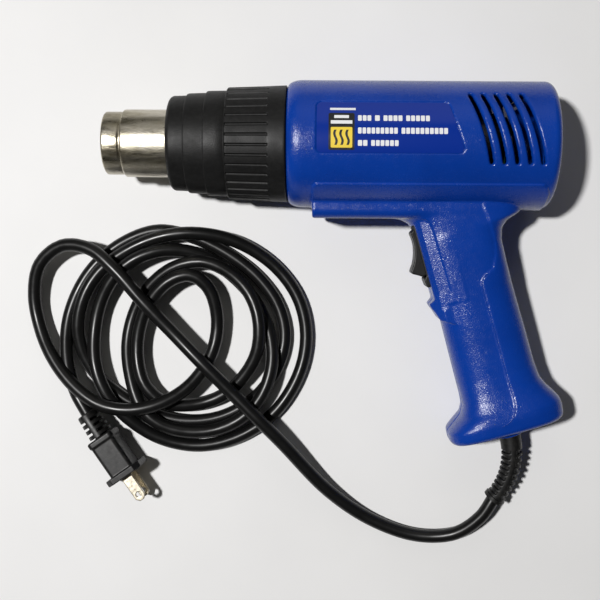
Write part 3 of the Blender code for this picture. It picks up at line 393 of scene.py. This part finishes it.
def label_field(x, y):
    inner = [(-9.2, -4.4), (63.8, -4.4), (56.4, 17.4), (-9.2, 17.4)]
    return polygon(inner, x, y) - 3.0


def bead(made, side):
    """A fine raised line along the grip's crease."""
    line = smooth_through([(x, y, 0) for x, y in [
        (83.4, -71.9), (81.0, -74.4), (80.4, -77.6), (88.2, -104.8), (96.1, -132.1), (99.1, -141.5),
        (99.8, -146.4), (98.9, -151.2), (96.2, -154.8), (92.4, -157.0),
    ]], 90)
    found = []
    for p in line:
        start, end = GUN @ Vector((p[0], p[1], side * 45)), GUN @ Vector((p[0], p[1], side * 2))
        hit, place, _, _ = made.ray_cast(start, (end - start).normalized())
        if hit and place.z > 0.0012:
            found.append((place + (end - start).normalized() * 0.00012) / MM)
    swept = sweep("crease", found, lambda total, angle: np.full(len(angle), 0.42), 8)
    bm = bmesh.new()
    bm.from_mesh(made.data)
    bm.from_mesh(swept.data)
    bm.to_mesh(made.data)
    bm.free()
    bpy.data.objects.remove(swept)


def housing():
    b = Block((-42.5, -179, -37.5), (134, 37.5, 37.5), FINE)
    r = np.hypot(b.y, b.z)
    nose = np.interp(b.x, [-28.3, -27.9, -27.0, -25.6, -24.0, -22.2, -20.0, 200],
        [31.9, 32.7, 33.6, 34.4, 35.0, 35.35, 35.5, 35.5])
    barrel = round_max(round_max(r - nose, b.x - 119.2, 4.6), -28.3 - b.x, 0.4)
    plan = round_max(round_max(b.y + 22.7, -14.4 - b.x, 3.6), b.x - 114.9, 6.0)
    skin = round_max(r - (BARREL_R + 1.0), plan, 0.5)
    section = round_max(-41.5 - b.y, np.abs(b.z) - 17.2, 5.0)
    beam = round_max(round_max(section, b.y + 12.0, 1.0), np.maximum(-14.4 - b.x, b.x - 84.0), 1.2)
    grip, down, fore = grip_field(b)
    grip = np.maximum(round_max(grip, down - 64.3, 3.2), -78 - down)
    wide = np.abs(b.z)
    nose = round_max(fore - 23.5, (fore - 20.6 + wide - 13.6) * 0.7071, 0.5)
    nose = np.maximum(np.maximum(nose, (wide - 13.6) * 0.978 + (fore - 20.6) * 0.205),
        np.maximum(6 - fore, np.maximum(-68 - down, down + 16)))
    body = round_min(barrel, round_min(beam, round_min(grip, nose, 0.5), 1.0), 1.6)
    lip_line = [at_grip(-27, 10), (56.2, -85.2), (54.6, -87.6), (52.3, -90.1), (53.4, -92.0), (55.6, -94.6),
        (58.4, -98.8), at_grip(-3, 14), at_grip(-8, 10)]
    lip = np.maximum(polygon(lip_line, b.x[:, :, 0], b.y[:, :, 0])[:, :, None],
        (wide - 14.2 + 0.95 * (fore - 20.5)) * 0.72)
    lip = np.maximum(lip, wide - 14.2)
    body = round_min(body, lip, 0.4)
    body = np.minimum(body, skin)
    across = np.hypot(fore - 0.9, b.z)
    ring = round_max(across - 8.3, np.maximum(down - 68.7, 55 - down), 0.7)
    body = round_min(body, ring, 0.4)
    facet = [(43.9, -42.4), (48.6, -42.2), (50.9, -43.6), (52.2, -46.6), (54.9, -54.6), (60.9, -74.1),
        (63.9, -84.0), (63.5, -89.2), (59.5, -93.4),
             (50.5, -92), (36, -46)]
    facet_floor = (wide - 13.6) * 0.978 + (fore - 20.6) * 0.205
    facet_cut = np.maximum(polygon(facet, b.x[:, :, 0], b.y[:, :, 0])[:, :, None], -facet_floor)
    body = round_max(body, -facet_cut, 0.2)
    recess = np.maximum(label_field(b.x, b.y), np.maximum(BARREL_R - 0.75 - r, 5 - b.z))
    body = np.maximum(body, -recess)
    # Cavities
    inside = np.maximum(r - 33.0, np.maximum(b.x - 116.7, -25.8 - b.x))
    inside = np.minimum(inside, np.maximum(section + 2.5,
        np.maximum(np.maximum(b.y + 12, -11.9 - b.x), b.x - 81.5)))
    inside = np.minimum(inside, np.maximum(grip + 2.6, down - 61.5))
    for x, y in SCREWS:
        inside = np.maximum(inside, 3.2 - np.hypot(b.x - x, b.y - y))
    neck = np.maximum(r - 29.6, np.maximum(-41.0 - b.x, b.x + 24))
    body = np.minimum(body, neck)
    bore = np.maximum(r - 27.7, b.x + 22.0)
    shelf = np.maximum(22.5 - r, np.maximum(-35.6 - b.x, b.x + 33.8))
    body = np.maximum(body, -np.minimum(inside, np.maximum(bore, -shelf)))
    depth = np.maximum(-barrel, 0)
    narrow = 0.8 + 0.95 * np.clip(1 - depth / 1.9, 0, 1)
    for line in slot_lines():
        d = stroke(line, b.x[:, :, 0], b.y[:, :, 0])[:, :, None]
        body = round_max(body, -np.maximum(d - narrow, 15 - np.abs(b.z)), 0.25)
    # Openings for the switch and the lead, and screw holes
    sd, sn = along_switch(b.x, b.y)
    opening = np.maximum(np.maximum(-18.0 - sd, sd - 17.9),
        np.maximum(wide - 9.0, np.maximum(-15 - sn, sn - 9)))
    body = round_max(body, -opening, 0.3)
    body = np.maximum(body, -np.maximum(across - 6.75, 50 - down))
    for x, y in SCREWS:
        hole = np.hypot(b.x - x, b.y - y)
        body = np.maximum(body, -np.maximum(hole - 1.7, b.z - 9.0))
        body = round_max(body, -np.maximum(hole - 2.8, b.z + 6.5), 0.3)
    paint = blue_plastic()
    for name, side in (("left_housing", 1), ("right_housing", -1)):
        half = round_max(body, 0.13 - side * b.z, 0.35)
        made = b.mesh(name, half, GUN)
        bead(made, side)
        wear(made, paint, slot="blue_plastic", stands_for=[name.replace("housing", "shell")])


# ---------------------------------------------------------------- switch

SWITCH = (47.7, -63.0)
SWITCH_RAKE = math.radians(21.0)
SWITCH_DOWN = (math.sin(SWITCH_RAKE), -math.cos(SWITCH_RAKE))
SWITCH_OUT = (-math.cos(SWITCH_RAKE), -math.sin(SWITCH_RAKE))


def along_switch(x, y):
    dx, dy = x - SWITCH[0], y - SWITCH[1]
    return dx * SWITCH_DOWN[0] + dy * SWITCH_DOWN[1], dx * SWITCH_OUT[0] + dy * SWITCH_OUT[1]


def switch():
    step = 0.28
    b = Block((33, -87, -11), (70, -38, 11), step)
    d, n = along_switch(b.x, b.y)
    paint = plain_coat("switch_plastic", (0.006, 0.006, 0.006), 0.44)
    paint.node_tree.nodes["Principled BSDF"].inputs["Specular IOR Level"].default_value = 0.3
    profile = [
        (-15.7, -2.4), (-15.7, -0.4), (-14.9, 1.1), (-14.2, 1.45), (-12.3, 1.35), (-9.6, 1.35), (-7.0, 1.7),
        (-3.1, 2.9), (0.2, 4.4), (2.9, 6.0), (4.9, 7.8), (6.4, 8.7),
        (7.4, 8.2), (9.2, 5.6), (11.0, 3.3), (10.7, -2.6), (4.0, -6.6), (-7.0, -6.6),
    ]
    shape = polygon(profile, d[:, :, 0], n[:, :, 0])[:, :, None]
    rocker = round_max(shape, np.abs(b.z) - 6.9, 0.6)
    for place in (-12.4, -11.0, -9.6):
        rocker = np.maximum(rocker, -(np.hypot(d - place, n - 1.75) - 0.45))
    pin = np.hypot(d + 1.5, n + 3.0)
    rocker = np.maximum(rocker, 1.4 - pin)
    wear(b.mesh("rocker_cap", rocker, GUN), paint, "rocker", "black_plastic", ["switch_rocker"])
    rim = [(-17.7, -6.0), (-17.7, -1.9), (-17.0, -1.1), (-15.0, -0.9), (11.0, 1.4), (12.4, 2.9), (13.2, 3.35),
        (17.0, 3.25), (17.6, 2.6), (17.7, -6.0)]
    case = round_max(polygon(rim, d[:, :, 0], n[:, :, 0])[:, :, None], np.abs(b.z) - 8.8, 0.6)
    lower = np.maximum(np.maximum(-17.4 - d, d - 17.3),
        np.maximum(np.maximum(-17.5 - n, n + 1.5), np.abs(b.z) - 8.8))
    well = np.maximum(np.maximum(-17.1 - d, d - 12.8), np.maximum(-9.0 - n, np.abs(b.z) - 7.3))
    case = round_max(np.minimum(case, lower), -well, 0.25)
    wear(b.mesh("switch_bezel", case, GUN), paint, slot="black_plastic", stands_for=["switch_case"])


# ---------------------------------------------------------------- turned pieces


def turned(name, rows, sides, radius_at=None, closed=True):
    """Rows of (x, radius) turned about the barrel's axis, radius_at(x, r, angle) reshaping them."""
    rows = np.array(rows, dtype=float)
    angle = np.linspace(0, 2 * np.pi, sides, endpoint=False)
    x = np.repeat(rows[:, 0][:, None], sides, axis=1)
    r = np.repeat(rows[:, 1][:, None], sides, axis=1)
    if radius_at:
        r = radius_at(x, r, angle[None])
    points = np.stack([x, r * np.cos(angle), r * np.sin(angle)], axis=-1).reshape(-1, 3)
    count = len(rows)
    last = count if closed else count - 1
    faces = []
    for i in range(last):
        j = (i + 1) % count
        for k in range(sides):
            m = (k + 1) % sides
            faces.append((i * sides + k, j * sides + k, j * sides + m, i * sides + m))
    data = bpy.data.meshes.new(name)
    data.from_pydata(points.tolist(), [], faces)
    data.transform(GUN)
    bm = bmesh.new()
    bm.from_mesh(data)
    if bm.calc_volume(signed=True) < 0:
        bmesh.ops.reverse_faces(bm, faces=bm.faces)
    bm.to_mesh(data)
    bm.free()
    data.shade_smooth()
    data.set_sharp_from_angle(angle=math.radians(38))
    return link(name, data)


def arc(centre, radius, start, end, steps=5):
    turn = np.radians(np.linspace(start, end, steps))
    return [(centre[0] + radius * math.cos(a), centre[1] + radius * math.sin(a)) for a in turn]


def heat_shield():
    outer = [(-94.3, 20.2), (-94.3, 23.2)]
    outer += arc((-91.3, 23.5), 3.0, 180, 97, 7)
    outer += [(-88, 26.6), (-84.4, 26.75)] + arc((-83.9, 27.2), 0.5, 190, 100, 4) + [(-83.2, 27.9),
        (-78, 28.1), (-73.4, 28.2)]
    outer += arc((-72.9, 28.7), 0.5, 190, 100, 4) + [(-72.2, 29.3), (-67, 29.45), (-62.9, 29.5),
        (-62.5, 29.3), (-62.0, 29.3)]
    outer += arc((-60.9, 30.3), 1.0, 180, 95, 5)
    outer += [(x, 31.3 + (x + 60.9) * 0.035) for x in np.linspace(-60.0, -38.4, 44)]
    outer += [(-38.0, 32.15), (-37.6, 32.2), (-34, 32.35), (-30.2, 32.5)] + arc((-29.4, 31.9), 0.7, 80, 0, 5)
    inner = [(-28.6, 30.0), (-42, 30.0), (-44, 28.6), (-62, 27.4), (-91, 24.0), (-92, 19.7), (-93.8, 19.6)]

    def grooves(x, r, angle):
        turn = (angle * 36 / (2 * np.pi)) % 1.0
        off = np.abs(turn - 0.5) * 2 * np.pi * 31.0 / 36
        back = np.maximum(x + 38.9, 0)
        near = np.hypot(off, back)
        depth = 0.85 * np.clip((0.78 - near) / 0.32, 0, 1)
        on = (x > -61.2) & (x < -37.9) & (r > 30.2)
        return r - np.where(on, depth, 0)

    made = turned("collar", outer + inner, 540, grooves)
    wear(made, black_plastic(), "shield", "black_plastic", ["heat_shield"])


def nozzle():
    outer = arc((-129.6, 16.25), 1.35, 200, 95, 7) + [(-127, 17.6), (-122.3, 17.6)]
    outer += [(-121.6, 17.5), (-121.1, 17.1), (-120.7, 17.05), (-120.3, 17.2)] + arc((-119.2, 17.7), 1.15,
        165, 92, 5)
    outer += [(-110, 18.88), (-95, 18.9), (-37.4, 18.9), (-37.4, 27.2), (-36.2, 27.2)]
    inner = [(-36.2, 17.9), (-118.6, 17.9), (-120.4, 16.5), (-129.0, 16.5), (-129.9, 15.3), (-130.6, 15.25)]
    made = turned("nozzle_skin", outer + inner, 160)
    wear(made, nozzle_steel(), slot="nozzle_steel", stands_for=["nozzle_tube"])


# ---------------------------------------------------------------- rating plate


def wrap(name, flat, lift, paint, thick=0.0):
    """Lays a flat outline round the barrel: flat is a list of outlines in X and Y."""
    curve = bpy.data.curves.new(name, "CURVE")
    curve.dimensions = "2D"
    curve.fill_mode = "BOTH"
    for outline in flat:
        spline = curve.splines.new("POLY")
        spline.points.add(len(outline) - 1)
        for point, (x, y) in zip(spline.points, outline):
            point.co = (x, y, 0, 1)
        spline.use_cyclic_u = True
    source = bpy.data.objects.new(name, curve)
    SCENE.collection.objects.link(source)
    bpy.context.view_layer.update()
    data = bpy.data.meshes.new_from_object(source.evaluated_get(bpy.context.evaluated_depsgraph_get()))
    bpy.data.objects.remove(source)
    bm = bmesh.new()
    bm.from_mesh(data)
    bmesh.ops.remove_doubles(bm, verts=bm.verts, dist=1e-4)
    low, high = min(v.co.y for v in bm.verts), max(v.co.y for v in bm.verts)
    y = low + 0.8
    while y < high:
        bmesh.ops.bisect_plane(bm, geom=bm.verts[:] + bm.edges[:] + bm.faces[:], plane_co=(0, y, 0),
            plane_no=(0, 1, 0))
        y += 0.8
    if thick:
        made = bmesh.ops.extrude_face_region(bm, geom=bm.faces[:])
        for v in made["geom"]:
            if isinstance(v, bmesh.types.BMVert):
                v.co.z -= thick
    for v in bm.verts:
        r = BARREL_R + lift + v.co.z
        v.co = (v.co.x, v.co.y, math.sqrt(max(r * r - v.co.y**2, 0)))
    bmesh.ops.recalc_face_normals(bm, faces=bm.faces)
    bm.to_mesh(data)
    bm.free()
    data.transform(GUN)
    if not thick and data.polygons and sum(p.normal.z for p in data.polygons) < 0:
        data.flip_normals()
    data.shade_smooth()
    data.set_sharp_from_angle(angle=math.radians(40))
    return wear(link(name, data), paint, slot="label")


def rounded(points, radius, steps=5):
    """An outline with its corners rounded."""
    out = []
    pts = [Vector(p) for p in points]
    for i, p in enumerate(pts):
        a, c = pts[i - 1], pts[(i + 1) % len(pts)]
        u, w = (a - p).normalized(), (c - p).normalized()
        half = math.acos(max(-1, min(1, u.dot(w)))) / 2
        cut = radius / math.tan(half)
        start, end = p + u * cut, p + w * cut
        centre = p + (u + w).normalized() * (radius / math.sin(half))
        a0 = math.atan2(*(start - centre).yx)
        a1 = math.atan2(*(end - centre).yx)
        turn = (a1 - a0 + math.pi) % (2 * math.pi) - math.pi
        for k in range(steps + 1):
            a = a0 + turn * k / steps
            out.append((centre.x + radius * math.cos(a), centre.y + radius * math.sin(a)))
    return out


def block(x0, y0, x1, y1):
    return [(x0, y0), (x1, y0), (x1, y1), (x0, y1)]


def label():
    film = shader("label_film", (0.0015, 0.026, 0.27), 0.22)
    bump(film, [noise(film, 160, 3)], [0.06], [0.0003])
    white = plain_coat("print_white", (0.80, 0.81, 0.83), 0.35)
    yellow = plain_coat("print_yellow", (0.85, 0.62, 0.05), 0.35)
    black = plain_coat("print_black", (0.01, 0.01, 0.012), 0.35)
    plate = [(-11.8, -7.0), (67.3, -7.0), (58.2, 20.0), (-11.8, 20.0)]
    made = wrap("label_film", [rounded(plate, 2.6)], -0.22, film, 0.4)
    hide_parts("label_plate")
    wrap("badge", [rounded(block(-5.6, -5.6, 8.2, 14.0), 0.9)], -0.17, black)
    wrap("badge_field", [rounded(block(-4.4, -4.4, 7.0, 6.4), 0.6)], -0.14, yellow)
    waves = []
    for shift in (-1.9, 1.3, 4.5):
        left = [(shift - 0.65 + 0.6 * math.sin(t * 2 * math.pi), -3.0 + 8.0 * t) for t in np.linspace(0, 1,
            15)]
        waves.append(left + [(x + 1.3, y) for x, y in reversed(left)])
    wrap("badge_waves", waves, -0.11, black)
    wrap("badge_bars", [block(-4.4, 8.2, 7.0, 10.0), block(-2.6, 11.2, 5.2, 12.8)], -0.13, white)
    rows = [(9.8, 12.8, [(10, 17), (19, 21.5), (23.5, 33.5), (35.5, 48)]), (3.0, 6.2, [(10, 31), (33, 57.5)]),
        (-3.4, -0.4, [(10, 15), (17, 31.5)])]
    bars = []
    for y0, y1, spans in rows:
        for x0, x1 in spans:
            count = max(1, round((x1 - x0) / 2.35))
            pitch = (x1 - x0 + 0.5) / count
            bars += [rounded(block(x0 + k * pitch, y0, x0 + (k + 1) * pitch - 0.5, y1), 0.4,
                3) for k in range(count)]
    wrap("label_lines", bars, -0.17, white)
    wrap("label_note", [block(-4.8, 15.6, 8.8, 16.8)], -0.17, white)


# ---------------------------------------------------------------- mains lead, strain relief and plug

CORD_R = 3.9
CORD_LAYER = 8.5
PLUG_TAIL = Vector((-147.5, -88.7, 13.0))
PLUG_HEADING = math.radians(-55.0)
CORD_ROUTE = [
    (-147, -88.7), (-155, -74.7), (-161, -53.7), (-160, -29.7), (-149, -5.7), (-131, 11.3), (-108, 20.3),
    (-86, 16.3),
    (-65, 6.3), (-47, -7.7), (-35, -24.7), (-31, -43.7), (-37, -64.7), (-51, -81.7), (-70, -91.7),
    (-92, -93.7), (-114, -87.7), (-134, -75.7),
    (-148, -60.7), (-154, -41.7), (-151, -21.7), (-141, -4.7), (-124, 8.3), (-104, 16.3), (-82, 18.3),
    (-59, 13.3),
    (-37, -0.7), (-23, -19.7), (-18, -41.7), (-22, -64.7), (-36, -87.7), (-57, -102.7), (-81, -108.7),
    (-104, -104.7), (-123, -92.7), (-136, -77.7),
    (-143, -59.7), (-144, -39.7), (-140, -21.7), (-131, -6.7), (-118, 3.3), (-101, 8.3), (-83, 6.3),
    (-66, -3.7),
    (-51, -18.7), (-41, -36.7), (-38, -56.7), (-43, -75.7), (-54, -89.7), (-69, -97.7), (-86, -99.7),
    (-103, -95.7), (-115, -85.7),
    (-122, -68.7), (-125, -47.7), (-121, -28.7), (-111, -12.7), (-96, -1.7), (-79, 1.3), (-64, -4.7),
    (-52, -16.7), (-46, -32.7), (-47, -51.7), (-56, -67.7), (-69, -78.7), (-85, -83.7), (-101, -82.7),
    (-113, -72.7),
    (-118, -56.7), (-117, -38.7), (-110, -21.7), (-98, -9.7), (-86, -6.7), (-76, -13.7), (-71, -28.7),
    (-72, -46.7),
    (-79, -62.7), (-90, -74.7), (-105, -82.7), (-122, -85.7), (-139, -82.7), (-154, -72.7), (-167, -57.7),
    (-176, -39.7),
    (-180, -19.7), (-176, -0.7), (-162, 10.3), (-145, 8.3), (-130, -3.7), (-113, -22.7), (-90, -46.7),
    (-65, -71.7), (-34, -102.7),
    (-4, -134.7), (22, -152.7), (49, -161.7), (71, -159.7), (86, -148.7),
]
BOOT_ROUTE = [(101.6, -100.3, 20.9), (102.6, -106.7, 20.4), (102.5, -113.7, 19.6), (101.4, -120.7, 18.5),
    (98.9, -127.7, 17.0), (95.3, -134.3, 15.2)]
BOOT_END = Vector((93.2, -137.3, 14.3))


def smooth_through(points, count):
    """Evenly spaced points on a centripetal Catmull-Rom curve."""
    given = [Vector(p) for p in points]
    given = [2 * given[0] - given[1], *given, 2 * given[-1] - given[-2]]
    fine = []
    for a, b, c, d in zip(given, given[1:], given[2:], given[3:]):
        t1 = (b - a).length ** 0.5
        t2 = t1 + (c - b).length ** 0.5
        t3 = t2 + (d - c).length ** 0.5
        for k in range(12):
            t = t1 + (t2 - t1) * k / 12
            ab = a.lerp(b, t / t1)
            bc = b.lerp(c, (t - t1) / (t2 - t1))
            cd = c.lerp(d, (t - t2) / (t3 - t2))
            fine.append(ab.lerp(bc, t / t2).lerp(bc.lerp(cd, (t - t1) / (t3 - t1)), (t - t1) / (t2 - t1)))
    fine.append(given[-2])
    line = np.array(fine)
    along = np.concatenate([[0], np.cumsum(np.linalg.norm(np.diff(line, axis=0), axis=1))])
    at = np.linspace(0, along[-1], count)
    return [Vector([np.interp(s, along, line[:, k]) for k in range(3)]) for s in at]


def cord_heights(flat):
    """The height of each point of the lead: on the bench, or on the earlier stretches that it crosses."""
    count = len(flat)
    step = np.linalg.norm(np.diff(flat, axis=0), axis=1)
    along = np.concatenate([[0], np.cumsum(step)])
    gap = np.linalg.norm(flat[:, None] - flat[None], axis=2)
    far_back = along[:, None] - along[None] > 40
    height = np.full(count, CORD_R)
    tail = np.abs(along[:, None] - along[None]) * 0.17
    for i in range(count):
        touch = (gap[i] < CORD_LAYER) & far_back[i]
        if touch.any():
            height[i] = (height[touch] + np.sqrt(CORD_LAYER**2 - gap[i][touch] ** 2)).max()
        height[: i + 1] = np.maximum(height[: i + 1], height[i] - tail[i, : i + 1])
    return np.max(height[None] - tail, axis=1)


def cord_line():
    flat = np.array([(p.x, p.y) for p in smooth_through([(x, y, 0) for x,
        y in CORD_ROUTE] + [(*BOOT_END.xy, 0)], 1500)])
    height = cord_heights(flat)
    step = np.linalg.norm(np.diff(flat, axis=0), axis=1)
    along = np.concatenate([[0], np.cumsum(step)])
    to_plug = np.clip(1 - along / 70, 0, 1)
    to_boot = np.clip(1 - (along[-1] - along) / 60, 0, 1)
    height = height + (PLUG_TAIL.z - CORD_R) * to_plug**2 * (3 - 2 * to_plug) + (BOOT_END.z - CORD_R) * to_boot**2 * (3 - 2 * to_boot)
    kernel = np.hanning(41)
    height = np.convolve(np.pad(height, 20, mode="edge"), kernel / kernel.sum(), mode="valid")
    return np.column_stack([flat, height])


def sweep(name, line, ring, sides, place=SCALE_ONLY):
    """A closed skin along a line; ring(distance, angle) gives its radius. Angle 0 points up."""
    line = [Vector(p) for p in line]
    angle = np.linspace(0, 2 * np.pi, sides, endpoint=False)
    points, total = [], 0.0
    for i, p in enumerate(line):
        if i:
            total += (p - line[i - 1]).length
        ahead = (line[min(i + 1, len(line) - 1)] - line[max(i - 1, 0)]).normalized()
        side = ahead.cross(Vector((0, 0, 1))).normalized()
        up = side.cross(ahead)
        radius = ring(total, angle)
        points += [p + (up * math.cos(a) + side * math.sin(a)) * r for a, r in zip(angle, radius)]
    faces = []
    for i in range(len(line) - 1):
        for k in range(sides):
            m = (k + 1) % sides
            faces.append((i * sides + k, i * sides + m, (i + 1) * sides + m, (i + 1) * sides + k))
    faces.append(tuple(range(sides))[::-1])
    faces.append(tuple(range((len(line) - 1) * sides, len(line) * sides)))
    data = bpy.data.meshes.new(name)
    data.from_pydata([tuple(p) for p in points], [], faces)
    data.transform(place)
    bm = bmesh.new()
    bm.from_mesh(data)
    if bm.calc_volume(signed=True) < 0:
        bmesh.ops.reverse_faces(bm, faces=bm.faces)
    bm.to_mesh(data)
    bm.free()
    data.shade_smooth()
    data.set_sharp_from_angle(angle=math.radians(50))
    return link(name, data)


def boot(paint):
    inside = [GUN @ Vector((*at_grip(d, 0.9), 0)) / MM for d in (59.5, 64.0, 68.0)]
    line = smooth_through(inside + [Vector(p) for p in BOOT_ROUTE] + [BOOT_END], 200)
    total = sum((b - a).length for a, b in zip(line, line[1:]))
    first, last = 17.5, total - 3.0
    pitch = (last - first) / 9.0

    def ring(s, angle):
        base = 6.3 - 0.75 * s / total
        if s < 1.8:
            return np.full_like(angle, 8.5)
        if s > total - 2.3:
            return np.full_like(angle, 6.35)
        groove = 0.0
        if first < s < last:
            phase = ((s - first) / pitch) % 1.0
            groove = 1.35 * max(0.0, min(1.0, (0.30 - abs(phase - 0.36)) / 0.07))
        spine = np.clip((0.42 - np.abs(((angle + np.pi / 2) % np.pi) - np.pi / 2)) / 0.10, 0, 1)
        return base - groove * (1 - spine)

    made = sweep("boot", line, ring, 72)
    return wear(made, paint, slot="rubber", stands_for=["strain_relief"])


def plug(paint):
    step = 0.32
    b = Block((-2, -13.5, -15), (47, 13.5, 15), step)
    r_flat = 5.9 + b.x * 0.075
    tail = round_max(np.hypot(b.y, b.z * 0.78) - r_flat, np.maximum(-b.x, b.x - 18), 0.8)
    fins = np.abs(((b.x - 2.4) / 3.7) % 1.0 - 0.62) * 3.7
    slots = np.maximum(np.maximum(fins - 0.75, 1.7 - np.abs(b.y) + 0 * b.z),
        np.maximum(1.6 - b.x, b.x - 16.2))
    tail = np.maximum(tail, -np.maximum(slots, 4.0 - np.hypot(b.y, b.z)))
    body = round_max(round_max(np.abs(b.y) - 7.55, np.abs(b.z) - 10.0, 2.4), np.maximum(16.0 - b.x, b.x - 41),
        0.8)
    hump = round_max(round_max(np.abs(b.y) - 8.15, np.abs(b.z) - 10.6, 2.6),
        np.maximum(16.2 - b.x, b.x - 19.8), 0.9)
    body = round_min(round_min(body, tail, 0.6), hump, 0.7)
    flange = round_max(np.abs(b.y) - 11.2, np.abs(b.z) - 12.85, 1.0)
    flange = np.maximum(flange, (np.abs(b.y) + np.abs(b.z) - 20.4) * 0.7071)
    flange = round_max(flange, np.maximum(39.9 - b.x, b.x - 43.6), 0.5)
    body = round_min(body, flange, 0.5)
    bore = np.hypot(b.y, b.z) - 4.1
    body = np.maximum(body, -np.maximum(bore, b.x - 1.0))
    place = Matrix.Translation(PLUG_TAIL * MM) @ Matrix.Rotation(PLUG_HEADING, 4, "Z") @ SCALE_ONLY
    made = wear(b.mesh("plug", body, place), paint, slot="rubber", stands_for=["plug_body"])
    blades = []
    metal = plain_metal("blade_nickel", (0.66, 0.60, 0.48), 0.30)
    for number, sign in enumerate((-1, 1), 1):
        c = Block((41.0, -4.5, sign * 6.35 - 2.2), (62, 4.5, sign * 6.35 + 2.2), 0.2)
        outline = [(41.6, -3.2), (58.2, -3.2), (60.4, -1.4), (60.4, 1.4), (58.2, 3.2), (41.6, 3.2)]
        blade = round_max(polygon(outline, c.x[:, :, 0], c.y[:, :, 0])[:, :, None],
            np.abs(c.z - sign * 6.35) - 0.75, 0.22)
        blade = round_max(blade, 1.6 - np.hypot(c.x - 56.6, c.y), 0.12)
        blades.append(wear(c.mesh(f"blade_{number}", blade, place), metal, slot="bright_steel",
            stands_for=[f"plug_blade_{number}"]))
    return [made, *blades]


def lead():
    paint = rubber()
    line = cord_line()
    picks = np.linspace(0, len(line) - 1, 600).round().astype(int)
    points = [Vector(line[i]) for i in picks]
    points.reverse()
    points[0] = points[0] + (points[1] - points[0]).normalized() * 0.2
    points[-1] = points[-1] + (points[-2] - points[-1]).normalized() * 0.2
    curve = bpy.data.curves.new("mains_cord", "CURVE")
    curve.dimensions = "3D"
    curve.bevel_depth = CORD_R * MM
    curve.bevel_resolution = 6
    curve.use_fill_caps = True
    spline = curve.splines.new("POLY")
    spline.points.add(len(points) - 1)
    for point, place in zip(spline.points, points):
        point.co = (*(place * MM), 1)
    spline.use_smooth = True
    made = link("mains_cord", curve)
    wear(made, cord_vinyl(), slot="rubber", stands_for=["mains_lead"])
    pieces = plug(paint) + [boot(paint)]


# ---------------------------------------------------------------- the CAD nodes that stay


def repaint():
    looks = {
        "dark": plain_coat("inner_plastic", (0.02, 0.02, 0.02), 0.5),
        "steel": plain_metal("zinc_steel", (0.30, 0.30, 0.31), 0.42),
        "bright": plain_metal("bright_steel", (0.62, 0.60, 0.56), 0.22),
        "bronze": plain_metal("bronze", (0.62, 0.42, 0.22), 0.35),
        "copper": plain_metal("copper", (0.72, 0.38, 0.22), 0.35),
        "mica": plain_coat("mica", (0.55, 0.45, 0.30), 0.55),
        "ceramic": plain_coat("ceramic", (0.80, 0.77, 0.70), 0.7),
        "board": plain_coat("board", (0.012, 0.05, 0.025), 0.5),
        "wire_red": plain_coat("wire_red", (0.45, 0.04, 0.03), 0.4),
        "wire_white": plain_coat("wire_white", (0.75, 0.74, 0.70), 0.4),
        "nichrome": plain_metal("nichrome", (0.36, 0.32, 0.28), 0.4),
    }
    which = {
        "dark": ["air_funnel", "motor_bracket", "motor_end_cap", "fan", "cord_clamp", "live_wire",
            "lead_tail"]
        + [f"diode_{i}" for i in range(1, 5)],
        "steel": ["motor_can", "motor_magnet_1", "motor_magnet_2", "motor_screw_1", "motor_screw_2",
            "clamp_screw_1", "clamp_screw_2"]
        + [f"flange_screw_{i}" for i in range(1, 4)] + [f"housing_screw_{i}" for i in range(1, 7)],
        "bright": ["motor_shaft", "rocker_pin"],
        "bronze": ["front_bush", "rear_bush"],
        "copper": ["armature", "commutator"],
        "mica": ["mica_sleeve", "heater_cross"],
        "ceramic": ["heater_end_disc", "thermal_cutout"],
        "board": ["rectifier_board"],
        "wire_red": ["heater_wire"],
        "wire_white": ["neutral_wire"],
        "nichrome": ["heater_coil"],
    }
    for look, names in which.items():
        for name in names:
            data = NODES[name].data
            data.materials.clear()
            data.materials.append(looks[look])


def floor():
    data = bpy.data.meshes.new("floor")
    size = 3.0
    data.from_pydata([(-size, -size, 0), (size, -size, 0), (size, size, 0), (-size, size, 0)], [],
        [(0, 1, 2, 3)])
    made = link("floor", data)
    data.materials.append(floor_paint())


camera()
lights()
lead()
housing()
heat_shield()
nozzle()
switch()
label()
repaint()
floor()
